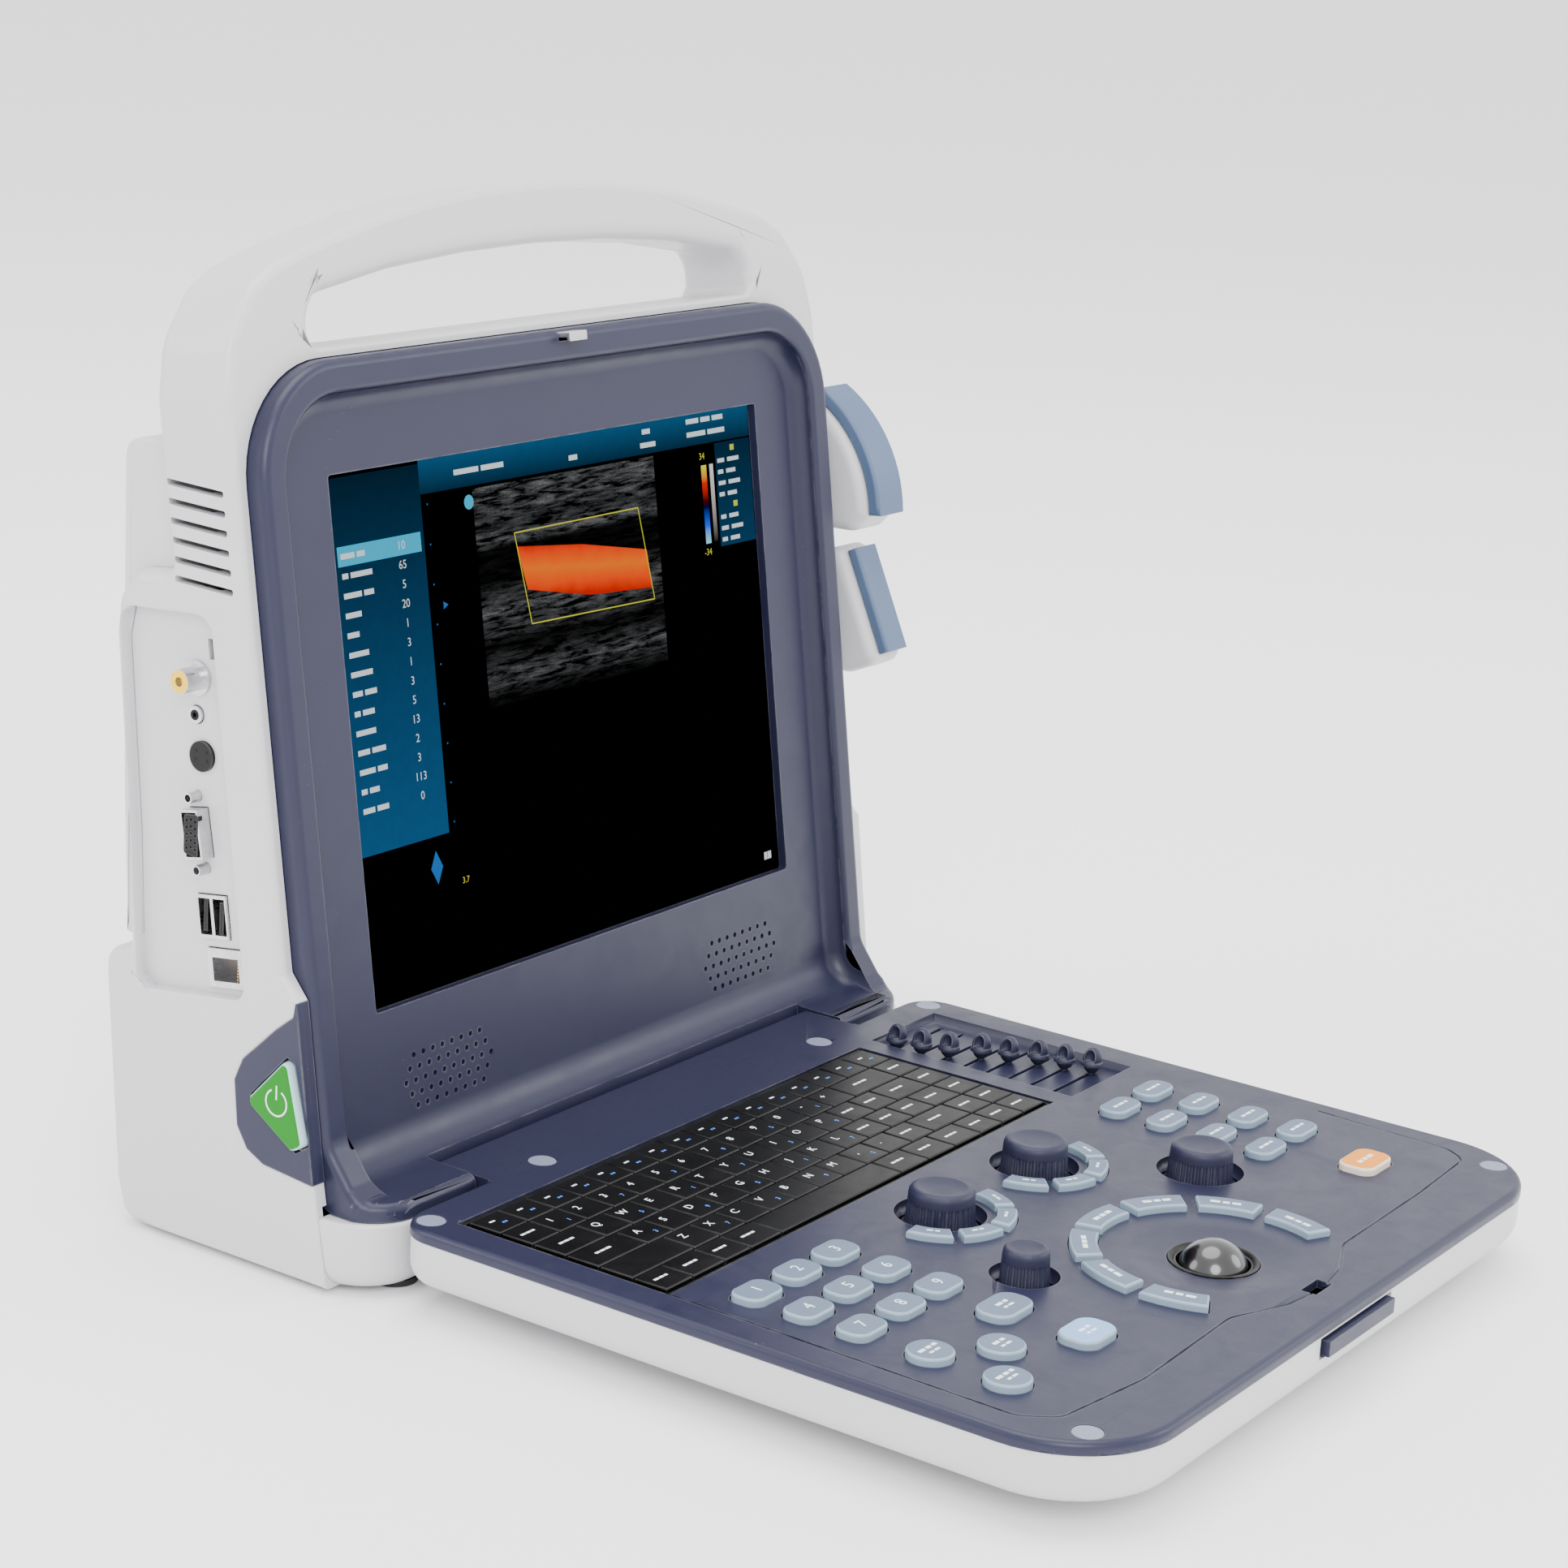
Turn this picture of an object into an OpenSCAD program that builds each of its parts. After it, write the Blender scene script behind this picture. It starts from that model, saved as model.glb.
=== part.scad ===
// Portable ultrasound scanner: a white console with a carrying handle and a tilted screen,
// a control panel that folds down in front of it, and two probes in holders on its right side.
// Millimetres. +Z up, +X to the operator's right, +Y to the back.
// The origin is on the table, under the middle of the console's base.

/* [Console] */
// Width of the white console
case_w = 336; // [332:1:340]
// Wall thickness of the console's shells
wall = 3.5; // [3:0.5:4]
// Backward lean of the screen, in degrees
tilt = 8.7; // [8.5:0.1:9]
// Height of the middle of the screen above the table
lcd_z = 175.35; // [175:0.1:176]
// Depth of the frame slab that carries the handle
slab_d = 33; // [32:0.5:34]
// Gap under the shells that the rubber feet fill
foot_h = 2; // [1.5:0.5:2.5]

/* [Screen] */
// Width of the visible screen
lcd_w = 246; // [240:1:248]
// Height of the visible screen
lcd_h = 184.5; // [180:0.5:186]
// Width of the slate bezel
bezel_w = 324; // [322:1:325]
// How far the bezel's rim stands in front of the screen
rim_proud = 10.4; // [10:0.1:11]
// Width of the bezel's rim
rim_w = 11.5; // [10:0.5:12]
// Radius of the bezel's and the panel's outer corners
corner_r = 39; // [36:1:40]

/* [Control panel] */
// Height of the panel's top face above the table
panel_z = 32.3; // [32:0.1:32.6]
// Height of the panel's underside above the table
panel_under_z = 10; // [9:0.5:12]
// Where the panel's back edge is
panel_back_y = -65; // [-66:0.5:-64.5]
// Where the panel's front edge is
panel_front_y = -338.5; // [-340:0.5:-338]
// Half the width of the hinge tongue
tongue_half_w = 112; // [108:1:112]
// Thickness of the slate cover plate
cover_t = 3; // [2.5:0.5:3]
// Gap round each key
key_gap = 0.4; // [0.3:0.1:0.5]
// How far the function keys stand above the cover
key_proud = 2.6; // [2:0.1:3]
// Height of the four knobs' tops above the panel
knob_rise = 9.7; // [9:0.1:9.8]
// Diameter of the trackball
ball_d = 25; // [24:0.5:25]

/* [Hidden] */
$fn = 48;

white = "whitesmoke";
slate = "slategray";
dark = [0.12, 0.12, 0.13];
metal = [0.72, 0.73, 0.75];
key_tint = [0.62, 0.70, 0.78];
board_green = [0.10, 0.35, 0.20];
eps = 0.5;

// The screen's own frame: u to the right, v up the screen, w from the screen to the back.
lcd_y = -6;
function back_at(z, w) = lcd_y + (z - lcd_z) * tan(tilt) + w / cos(tilt);
function on_tilt(w, v) = [lcd_y + w * cos(tilt) + v * sin(tilt), lcd_z - w * sin(tilt) + v * cos(tilt)];
function arc(c, r, a0, a1, n = 8) =
    [for (i = [0:n]) c + r * [cos(a0 + (a1 - a0) * i / n), sin(a0 + (a1 - a0) * i / n)]];

case_x = case_w / 2;
face_w = -2.4;
slab_back_w = face_w + slab_d;
rim_half_w = bezel_w / 2;
rim_top_v = 131;
surround_w = -2;
ledge_z = 33;
ledge_under_z = 27;
ledge_front_y = -60;
base_front_y = -61;

// The hinge lies as far under the panel's top face as it lies in front of the bezel's rim.
hinge_drop = 4.3;
hinge_z = panel_z - hinge_drop;
hinge_y = back_at(hinge_z, -rim_proud - hinge_drop);

module along_x(x0, x1) translate([x0, 0, 0]) rotate([90, 0, 90]) linear_extrude(x1 - x0) children();
module tilted() translate([0, lcd_y, lcd_z]) rotate([-tilt, 0, 0]) children();
module plate(w0, w1) tilted() translate([0, w1, 0]) rotate([90, 0, 0]) linear_extrude(w1 - w0) children();
module slab(z0, z1) translate([0, 0, z0]) linear_extrude(z1 - z0) children();
module both_sides() { children(); mirror([1, 0, 0]) children(); }

module round_rect(w, h, r) {
    square([w, h - 2 * r], center = true);
    square([w - 2 * r, h], center = true);
    for (sx = [-1, 1], sy = [-1, 1])
        translate([sx * (w / 2 - r), sy * (h / 2 - r)]) circle(r);
}
module top_rounded(half_w, v0, v1, r) {
    translate([-half_w, v0]) square([2 * half_w, v1 - r - v0]);
    translate([r - half_w, v0]) square([2 * (half_w - r), v1 - v0]);
    for (s = [-1, 1]) translate([s * (half_w - r), v1 - r]) circle(r);
}

// ---- Console shells ----

handle_top_v = 183.5;
handle_end = [139, 163.3];
handle_r = (pow(handle_end[0], 2) + pow(handle_top_v - handle_end[1], 2)) / (2 * (handle_top_v - handle_end[1]));
handle_a = asin(handle_end[0] / handle_r);
grip_under_v = 161.5;
grip_hole_half_w = 125;
shoulder_v = 134.5;

module handle_outline() polygon(concat(
    [[-case_x, -66], [-case_x, 122], [-164, 140], [-158, 149.5], [-150, 157.5]],
    arc([0, handle_top_v - handle_r], handle_r, 90 + handle_a, 90 - handle_a, 16),
    [[150, 157.5], [158, 149.5], [164, 140], [case_x, 122], [case_x, -66]]));
module grip_hole() polygon(concat(
    [[grip_hole_half_w, shoulder_v], [grip_hole_half_w, 146]],
    arc([grip_hole_half_w - 7, 146], 7, 0, 80, 3),
    [[80, 157.6], [40, 160.6], [0, grip_under_v], [-40, 160.6], [-80, 157.6]],
    arc([7 - grip_hole_half_w, 146], 7, 100, 180, 3),
    [[-grip_hole_half_w, shoulder_v]]));

base_pts = [[63.5, 99], [63.7, 92], [58, 19], [57, 11], [43, foot_h]];
bulge_pts = [[50, 234], [57.5, 224], [60, 211], [54, 144], [52, 104]];
seam_foot = [-41.2, foot_h];
seam_top = [-34.7, 38];
// The side walls stay a little inside the slab's own faces where the two run together.
side_x = case_x - 0.1;
side_front_w = face_w + 0.7;
side_back_w = slab_back_w - 0.7;
module side_shape() polygon(concat(
    [seam_foot, seam_top, [-25.7, 100], [back_at(108, side_front_w), 108], [back_at(280, side_front_w), 280],
     [back_at(280, side_back_w), 280], [back_at(238, side_back_w), 238]],
    bulge_pts, base_pts));
module inside_shape() polygon(concat(
    [[-45, foot_h + wall], on_tilt(11, -158), on_tilt(11, 130), on_tilt(slab_back_w - 3, 130.5),
     on_tilt(slab_back_w - 3, 58)],
    [[48, 230], [54, 221], [56.3, 210], [50.5, 144], [48.5, 98]],
    [[59.5, 94], [60, 91], [54.7, 20], [54, 13.5], [42, foot_h + wall]]));

io_floor_x = -163;
io_pts = [[53, 221], [19, 223.3], [15.5, 219], [-1.6, 98], [1, 94.8], [43.5, 89.3], [47.5, 92], [57, 217]];
plate_pts = [[-25.7, 100], [-24.8, 94.8], [-17, 88.6], [-2.6, 75], [0.9, 67], [-0.6, 51], [-5.2, 43.7],
             [-12.7, 40], [-34.7, 38]];
button_pts = [[-22.9, 79.7], [-25.4, 78.4], [-32.3, 51.8], [-27, 48.6], [-8.4, 60.5], [-7.6, 63.5]];
button_hole_pts = [[-22.6, 80.5], [-26, 79], [-33.1, 51.3], [-27.1, 47.7], [-7.7, 60.1], [-6.7, 63.9]];

vent_count = 6;
vent_pitch = 6.3;
module vents() for (i = [0:vent_count - 1])
    translate([-case_x - eps, 0, 232 + i * vent_pitch])
        rotate([2, 0, 0]) translate([0, 5.5 + i, 0]) cube([wall + 4, 26, 2.2]);

module feet_at() {
    both_sides() for (y = [-48, 32]) translate([140, y, 0]) children();
    children();
}
foot_peg_r = 3;

module bezel_pocket(half_w, top_v) polygon(concat([[-half_w, -160]],
    arc([corner_r - half_w, top_v - corner_r], corner_r, 180, 90, 10),
    arc([half_w - corner_r, top_v - corner_r], corner_r, 90, 0, 10), [[half_w, -160]]));

module main_shell() color(white) difference() {
    union() {
        plate(face_w, slab_back_w) handle_outline();
        along_x(-side_x, side_x) side_shape();
    }
    plate(-30, 60) grip_hole();
    plate(-30, 12) bezel_pocket(rim_half_w + 0.3, rim_top_v + 0.3);
    along_x(-case_x + wall, case_x - wall)
        polygon([[-70, foot_h + wall], [-14, foot_h + wall], [-14, 30], [-70, 30]]);
    along_x(-case_x + wall, case_x - wall) inside_shape();
    along_x(-161.3, 161.3) polygon([[27, 104], [90, 104], [90, 272], [36, 272]]);
    along_x(-case_x - 1, -case_x + wall + 1) polygon(io_pts);
    along_x(-case_x - 1, -case_x + 2.5) polygon(plate_pts);
    along_x(-case_x - 1, -case_x + wall + 4) polygon(button_hole_pts);
    vents();
    right_side_cuts();
    feet_at() cylinder(r = foot_peg_r + 0.05, h = 12);
}

cover_half_w = 161;
module rear_cover() color(white) difference() {
    intersection() {
        along_x(-cover_half_w, cover_half_w) polygon(concat(
            [[36, 104.3], [back_at(230, slab_back_w + 0.3), 230], [back_at(277, slab_back_w + 0.3), 277]],
            arc([52, 259], 18, 90, 0), [[65.6, 176], [60, 108], [59.6, 104.3]]));
        slab(90, 300) translate([0, -29]) round_rect(2 * cover_half_w, 2 * 99.5, 16);
    }
    along_x(-cover_half_w + 3, cover_half_w - 3) polygon(concat(
        [[20, 90], [back_at(230, 20), 230], [back_at(274, 20), 274]],
        arc([52, 259], 15, 90, 0), [[62.6, 176], [57, 108], [56.6, 90]]));
    rear_screws_at() cylinder(r = 1.6, h = 60, center = true);
}
module rear_screws_at() for (x = [-120, 120], z = [125, 245]) translate([x, 66, z]) rotate([90, 0, 0]) children();

module base_front() color(white) difference() {
    intersection() {
        along_x(-case_x + 1, case_x - 1) polygon([[base_front_y, foot_h], [base_front_y, ledge_under_z - 0.3],
            [-36.9, ledge_under_z - 0.3], [-41.4, foot_h]]);
        slab(0, 40) translate([0, base_front_y + 100]) round_rect(case_w - 2, 200, 24);
    }
    both_sides() slab(foot_h + 3, 40) polygon([[116, -58], [148, -58], [161, -50], [164, -38], [164, -30], [116, -30]]);
    translate([-116 - eps, -58, foot_h + 3]) cube([232 + 2 * eps, 40, 15]);
    translate([-tongue_half_w - 0.8, -70, 21.8]) cube([2 * tongue_half_w + 1.6, 60, 20]);
    feet_at() cylinder(r = foot_peg_r + 0.05, h = 12);
    both_sides() translate([tongue_half_w, hinge_y, hinge_z]) rotate([0, 90, 0]) cylinder(r = 1.9, h = 6);
}

// ---- Screen and bezel ----

speaker_v = -120;
speaker_x = 88;
grille_rows = [8, 9, 10, 9, 8];
module grille_holes() for (side = [-1, 1], row = [0:4], i = [0:grille_rows[row] - 1])
    translate([side * speaker_x + (i - (grille_rows[row] - 1) / 2) * 5.1, speaker_v + (row - 2) * 4.5]) circle(1, $fn = 16);

fillet_r = 14;
lower_x = rim_half_w - 0.1;
module lower_profile() {
    floor_foot = on_tilt(surround_w, (ledge_z - lcd_z) / cos(tilt));
    polygon(concat([on_tilt(1.5, -112), on_tilt(surround_w, -112)],
        arc([floor_foot[0] - fillet_r + 1.2, ledge_z + fillet_r], fillet_r, tilt * -1 + 2, -90, 8),
        [[ledge_front_y + 3.5, ledge_z]], arc([ledge_front_y + 3, ledge_z - 3], 3, 90, 180, 4),
        [[ledge_front_y, ledge_under_z], [ledge_front_y + 2.5, ledge_under_z], [ledge_front_y + 2.5, ledge_z - 2.3],
         on_tilt(1.5, -145)]));
}
module screen_bezel() color(slate) difference() {
    union() {
        plate(surround_w, 1.5) top_rounded(rim_half_w, -116, rim_top_v, corner_r);
        plate(-rim_proud, 1.5) difference() {
            top_rounded(rim_half_w, -138, rim_top_v, corner_r);
            top_rounded(rim_half_w - rim_w, -200, rim_top_v - rim_w, corner_r - rim_w);
        }
        intersection() {
            along_x(-lower_x, lower_x) lower_profile();
            slab(20, 80) translate([0, ledge_front_y + 150]) round_rect(bezel_w + 2, 300, 18);
        }
        intersection() {
            both_sides() along_x(rim_half_w - rim_w, lower_x - 0.1) polygon([on_tilt(-6, -122),
                [-40, 40], [-44, 37.5], [-49, ledge_z - 0.8], [-49, ledge_under_z + 1], on_tilt(0.7, -144), on_tilt(0.7, -122)]);
            slab(20, 80) translate([0, ledge_front_y + 150]) round_rect(bezel_w + 2, 300, 18);
        }
        both_sides() along_x(tongue_half_w + 0.8, tongue_half_w + 3.3)
            polygon([[ledge_front_y + 1, ledge_under_z], [ledge_front_y + 1, ledge_z - 1], [-32, ledge_z - 1], [-32, ledge_under_z]]);
    }
    plate(-20, 20) square([lcd_w, lcd_h], center = true);
    plate(-20, 20) grille_holes();
    along_x(-tongue_half_w - 0.8, tongue_half_w + 0.8) polygon([[-70, 20],
        [back_at(20, -rim_proud + 0.6), 20], [back_at(52, -rim_proud + 0.6), 52], [-70, 52]]);
    both_sides() translate([tongue_half_w - 5, hinge_y, hinge_z]) rotate([0, 90, 0]) cylinder(r = 2.2, h = 14);
    tilted() translate([-5.2, -rim_proud - 1, rim_top_v - 3.2]) cube([10.4, 8, 2.4]);
}
module screen_glass() color(dark) plate(1.6, 3.2) round_rect(lcd_w + 10, lcd_h + 10, 2);
module lcd_module() color(metal) plate(3.3, 10) round_rect(lcd_w + 16, lcd_h + 14, 3);
module lid_catch() color(slate) tilted() {
    translate([-5, -rim_proud - 5, rim_top_v - 3]) cube([10, 11, 2]);
    translate([-5, -rim_proud - 5, rim_top_v - 4.4]) cube([10, 1.6, 1.6]);
}

// ---- Left side: power switch and sockets ----

module power_plate() color(slate) difference() {
    along_x(-case_x - 0.3, -case_x + 2.4) polygon(plate_pts);
    along_x(-case_x - 5, -case_x + 5) polygon(button_hole_pts);
}
module power_button() color("limegreen") along_x(-case_x - 3, -case_x + 4.2) polygon(button_pts);

sock_x = io_floor_x;
rca_yz = [25.2, 200.7];
jack_yz = [25.4, 188.1];
svideo_yz = [22.2, 174.4];
vga_yz = [[24.5, 160.2], [20.1, 135.9]];
vga_mid = (vga_yz[0] + vga_yz[1]) / 2;
vga_lean = -atan2(vga_yz[0][0] - vga_yz[1][0], vga_yz[0][1] - vga_yz[1][1]);
usb_yz = [16, 119.8];
lan_yz = [9.5, 103];
socket_lean = -8;

// Local frame on the socket panel: x out of the case, z up, leaned like the panel's edge.
module on_side(yz, lean = 0) translate([sock_x, yz[0], yz[1]]) rotate([lean, 0, 0]) mirror([1, 0, 0]) children();
module outward(r, x0, x1) translate([x0, 0, 0]) rotate([0, 90, 0]) cylinder(r = r, h = x1 - x0);

module io_panel() color(white) difference() {
    union() {
        along_x(sock_x, sock_x + 1.8) polygon(io_rim_pts);
        difference() {
            along_x(-case_x + wall + 0.1, sock_x + eps) polygon(io_rim_pts);
            along_x(-case_x, sock_x + 2) polygon(io_pts);
        }
    }
    on_side(rca_yz) outward(4.3, -9, 9);
    on_side(jack_yz) outward(3.3, -9, 9);
    on_side(svideo_yz) outward(5.3, -9, 9);
    on_side(vga_mid, vga_lean) translate([-9, -4.4, -8.7]) cube([18, 8.8, 17.4]);
    for (p = vga_yz) on_side(p, vga_lean) outward(2, -9, 9);
    on_side(usb_yz, socket_lean) translate([-20, -6.9, -7.8]) cube([40, 13.8, 15.6]);
    on_side(lan_yz, socket_lean) translate([-20, -8.4, -7]) cube([40, 16.8, 14]);
    on_side([19, 211.4], socket_lean) translate([-9, -1.6, -3.5]) cube([18, 3.2, 7]);
}
io_rim_pts = [[53.3, 221], [17, 226], [12.5, 220], [-4.5, 98], [-1.8, 92], [43, 86.5], [48, 90], [50, 144], [55.7, 210]];

module rca_socket() color([0.85, 0.75, 0.3]) on_side(rca_yz) difference() {
    union() { outward(4.15, -8, 9); outward(6, -8, -1.9); outward(6, 0.1, 1.2); }
    outward(1.6, -6, 9.5);
}
module audio_jack() color(dark) on_side(jack_yz) difference() {
    union() { outward(3, -13, 1.2); outward(5, -13, -1.9); }
    outward(1.75, -12, 1.5);
}
module svideo_socket() color(dark) on_side(svideo_yz) difference() {
    union() { outward(5.1, -12, 1.2); outward(6.6, -12, -1.9); }
    difference() { outward(4.4, -5, 1.5); outward(3.3, -6, 0.4); }
    for (a = [20, 60, 120, 160]) rotate([a, 0, 0]) translate([0, 2.3, 0]) outward(0.5, -5, 1);
}
module vga_socket() color(metal) difference() {
    union() {
        on_side(vga_mid, vga_lean) difference() {
            translate([-9, -4.1, -8.4]) cube([14.5, 8.2, 16.8]);
            translate([1.2, -3.3, -7.6]) cube([9, 6.6, 15.2]);
        }
        on_side(vga_mid, vga_lean) translate([-3.6, -6, -15]) cube([1.6, 12, 30]);
        for (p = vga_yz) on_side(p, vga_lean) translate([-2.1, 0, 0]) rotate([0, 90, 0]) cylinder(r = 1.9, h = 7.1);
    }
    on_side(vga_mid, vga_lean) for (r = [-1:1], i = [-2:2])
        translate([-1, r * 1.9, i * 2.3 + r * 1.1]) outward(0.45, 0, 4);
    for (p = vga_yz) on_side(p, vga_lean) outward(1.3, -1, 9);
}
usb_slot = [5.3, 12.6];
module usb_socket() color(metal) on_side(usb_yz, socket_lean) difference() {
    translate([-16, -6.6, -7.5]) cube([17.2, 13.2, 15]);
    for (s = [-1, 1]) translate([-13, s * 3.3 - usb_slot[0] / 2, -usb_slot[1] / 2]) cube([20, usb_slot[0], usb_slot[1]]);
}
module lan_socket() color(metal) on_side(lan_yz, socket_lean) difference() {
    translate([-16, -8.1, -6.7]) cube([17.2, 16.2, 13.4]);
    translate([-12, -5.9, -4.6]) cube([20, 11.8, 8.2]);
}

// ---- Right side: mains inlet, probe sockets, holders and probes ----

inlet_yz = [30, 40];
probe_socket_yz = [[10, 76], [10, 108]];
module right_side_cuts() {
    translate([case_x - 8, inlet_yz[0] - 14.2, inlet_yz[1] - 10.2]) cube([20, 28.4, 20.4]);
    for (p = probe_socket_yz) translate([case_x - 8, p[0] - 20.3, p[1] - 12.3]) cube([20, 40.6, 24.6]);
    holder_screws_at() rotate([0, 90, 0]) cylinder(r = 1.6, h = 20, center = true);
}
module mains_inlet() color(dark) translate([case_x, inlet_yz[0], inlet_yz[1]]) {
    difference() {
        union() {
            translate([-22, -14, -10]) cube([22, 28, 20]);
            translate([0.1, -17, -13]) cube([2, 34, 26]);
        }
        translate([-14, -12, -8]) cube([20, 24, 16]);
    }
    for (p = [[-7, -1], [0, 2], [7, -1]]) translate([-16, p[0] - 1, p[1] - 2]) cube([13, 2, 4]);
}
module probe_sockets() color(dark) for (p = probe_socket_yz) translate([case_x, p[0], p[1]]) difference() {
    union() {
        translate([-20, -20, -12]) cube([20.1, 40, 24]);
        translate([0.1, -22, -14]) cube([1.6, 44, 28]);
    }
    translate([-12, -16, -6]) cube([20, 32, 12]);
}

// A probe points forwards and up along its own axis; the frame's x axis is the probe's axis here.
convex_lean = 33;
linear_lean = 25;
probe_x = 186;
convex_face = [-11, 247.5];
linear_face = [-18.5, 185];
module probe_frame(face, lean) translate([probe_x, face[0], face[1]]) rotate([0, 0, -90]) rotate([0, -lean, 0]) children();
module flat_probe(h) rotate([90, 0, 0]) linear_extrude(h, center = true) children();

convex_r = 60;
convex_half_a = 28.5;
lens_t = 5.5;
module convex_head(r0, r1) polygon(concat(
    arc([-convex_r, 0], r1, -convex_half_a, convex_half_a, 14), arc([-convex_r, 0], r0, convex_half_a, -convex_half_a, 14)));
module convex_lens() color([0.45, 0.55, 0.66]) probe_frame(convex_face, convex_lean)
    flat_probe(19) convex_head(convex_r - lens_t, convex_r);
module convex_probe() color(white) probe_frame(convex_face, convex_lean) difference() {
    union() {
        flat_probe(24) polygon(concat(arc([-convex_r, 0], convex_r - lens_t - 0.1, -convex_half_a - 2, convex_half_a + 2, 14),
            [[-24, 28.6], [-36, 19.8], [-48, 14], [-48, -14], [-36, -19.8], [-24, -28.6]]));
        flat_probe(21) polygon([[-47, 14], [-100, 11.5], [-100, -11.5], [-47, -14]]);
        translate([-112, 0, 0]) rotate([0, 90, 0]) cylinder(r = 5, h = 13);
    }
    translate([-120, 0, 0]) rotate([0, 90, 0]) cylinder(r = 2.6, h = 14);
}
module linear_lens() color([0.45, 0.55, 0.66]) probe_frame(linear_face, linear_lean)
    flat_probe(15) translate([-5, -22]) square([5, 44]);
module linear_probe() color(white) probe_frame(linear_face, linear_lean) difference() {
    union() {
        flat_probe(22) polygon([[-5.1, 24], [-9, 26], [-20, 25], [-34, 18], [-46, 12], [-46, -12], [-34, -18],
            [-20, -25], [-9, -26], [-5.1, -24]]);
        flat_probe(20) polygon([[-45, 12], [-95, 10.5], [-95, -10.5], [-45, -12]]);
        translate([-107, 0, 0]) rotate([0, 90, 0]) cylinder(r = 5, h = 13);
    }
    translate([-115, 0, 0]) rotate([0, 90, 0]) cylinder(r = 2.6, h = 14);
}
module holder_screws_at() for (p = [[28, 190], [30, 136]]) translate([case_x, p[0], p[1]]) children();
module holder_ring(face, lean, half_t, half_h) probe_frame(face, lean) difference() {
    translate([-86, -half_t - 3, -half_h - 3]) cube([34, 2 * half_t + 6, 2 * half_h + 6]);
    translate([-90, -half_t, -half_h]) cube([50, 2 * half_t, 2 * half_h]);
}
module probe_holder() color([0.85, 0.85, 0.87]) difference() {
    union() {
        holder_ring(convex_face, convex_lean, 12.4, 15);
        holder_ring(linear_face, linear_lean, 11.4, 13);
        along_x(case_x + 0.1, case_x + 3.1) polygon([[20, 232], [50, 240], [60, 232], [52, 140], [34, 128], [20, 140]]);
    }
    holder_screws_at() rotate([0, 90, 0]) cylinder(r = 1.6, h = 20, center = true);
}

// ---- Inside the console ----

module main_board() color(board_green) difference() {
    plate(20, 21.6) translate([-146, -92]) square([262, 182]);
    translate([-150, 5, 200]) cube([20, 60, 10]);
}
module power_supply() color(metal) translate([60, -2, 22]) cube([82, 40, 56]);
module battery() color(dark) translate([-110, -6, 22]) cube([150, 45, 52]);
module cooling_fan() color(dark) translate([-60, 44, 200]) rotate([-90, 0, 0]) difference() {
    translate([-30, -30, 0]) cube([60, 60, 15]);
    difference() {
        translate([0, 0, -1]) cylinder(r = 28, h = 20);
        translate([0, 0, 3]) cylinder(r = 11, h = 11.8);
        for (a = [0:40:320]) rotate([0, 0, a]) translate([8, -0.8, 4]) rotate([28, 0, 0]) cube([19, 1.4, 9]);
        for (a = [45, 135, 225, 315]) rotate([0, 0, a]) translate([8, -1.5, 13]) cube([22, 3, 1.8]);
    }
}
module storage_drive() color([0.55, 0.56, 0.58]) plate(23, 30) translate([-20, -60]) square([70, 100]);
module speakers() color(dark) both_sides() tilted() translate([speaker_x, 0, speaker_v]) {
    translate([-29, 1.7, -9.5]) cube([58, 14, 19]);
}
module hinge_brackets() color(metal) both_sides() difference() {
    translate([tongue_half_w + 4, hinge_y - 5, 20]) cube([9, 18, hinge_z + 2.6 - 20]);
    translate([tongue_half_w, hinge_y, hinge_z]) rotate([0, 90, 0]) cylinder(r = 1.55, h = 20);
}
module rubber_feet() color(dark) feet_at() {
    cylinder(r = 8, h = foot_h);
    cylinder(r = foot_peg_r, h = foot_h + 5.5);
}
module cover_screws() color(metal) {
    rear_screws_at() {
        cylinder(r = 1.5, h = 16);
        translate([0, 0, -4]) cylinder(r = 1.5, h = 5);
    }
    holder_screws_at() rotate([0, 90, 0]) {
        translate([0, 0, -8]) cylinder(r = 1.5, h = 12);
        translate([0, 0, 3.2]) cylinder(r = 2.8, h = 1.8);
    }
}

// ---- Control panel ----

panel_half_w = 162;
module panel_outline(inset = 0) {
    h = panel_back_y - panel_front_y;
    translate([0, panel_front_y]) mirror([0, 1]) translate([0, -h]) {
        translate([inset - panel_half_w, inset + 14]) square([2 * (panel_half_w - inset), h - 14 - corner_r - inset]);
        translate([14 - panel_half_w, inset]) square([2 * (panel_half_w - 14), 20]);
        translate([corner_r - panel_half_w, 20]) square([2 * (panel_half_w - corner_r), h - 20 - inset]);
        for (s = [-1, 1]) {
            translate([s * (panel_half_w - 14), 14]) circle(14 - inset);
            translate([s * (panel_half_w - corner_r), h - corner_r]) circle(corner_r - inset);
        }
    }
}

ball_xy = [0, -285];
ball_z = 25.6;
dish_r = 31.8;
ring_r = 15.5;
knobs = [[-31, -196.5, 16, 13.4], [31, -196.5, 16, 13.4], [67.5, -243.3, 15.6, 13], [-57, -245.6, 11.8, 9.2]];
well_floor_z = 27;
shaft_r = 3;

key_w = 17.5;
key_d = 12.5;
mode_x = [-131, -108.5, -86.3];
mode_y = [-190.6, -210.6, -230.7];
patient_x = [100.4, 125.1];
patient_y = [-191.9, -211.5, -232, -252.2];
freeze_xy = [113.1, -285.6];
probe_key_xy = [-86.5, -286.2];
store_xy = [-87.1, -256.1];
view_xy = [[-132.4, -257], [-113.3, -271.1], [-132.7, -285.2]];
screw_cap_xy = [[153, -74], [85.5, -67], [146, -321]];

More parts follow.
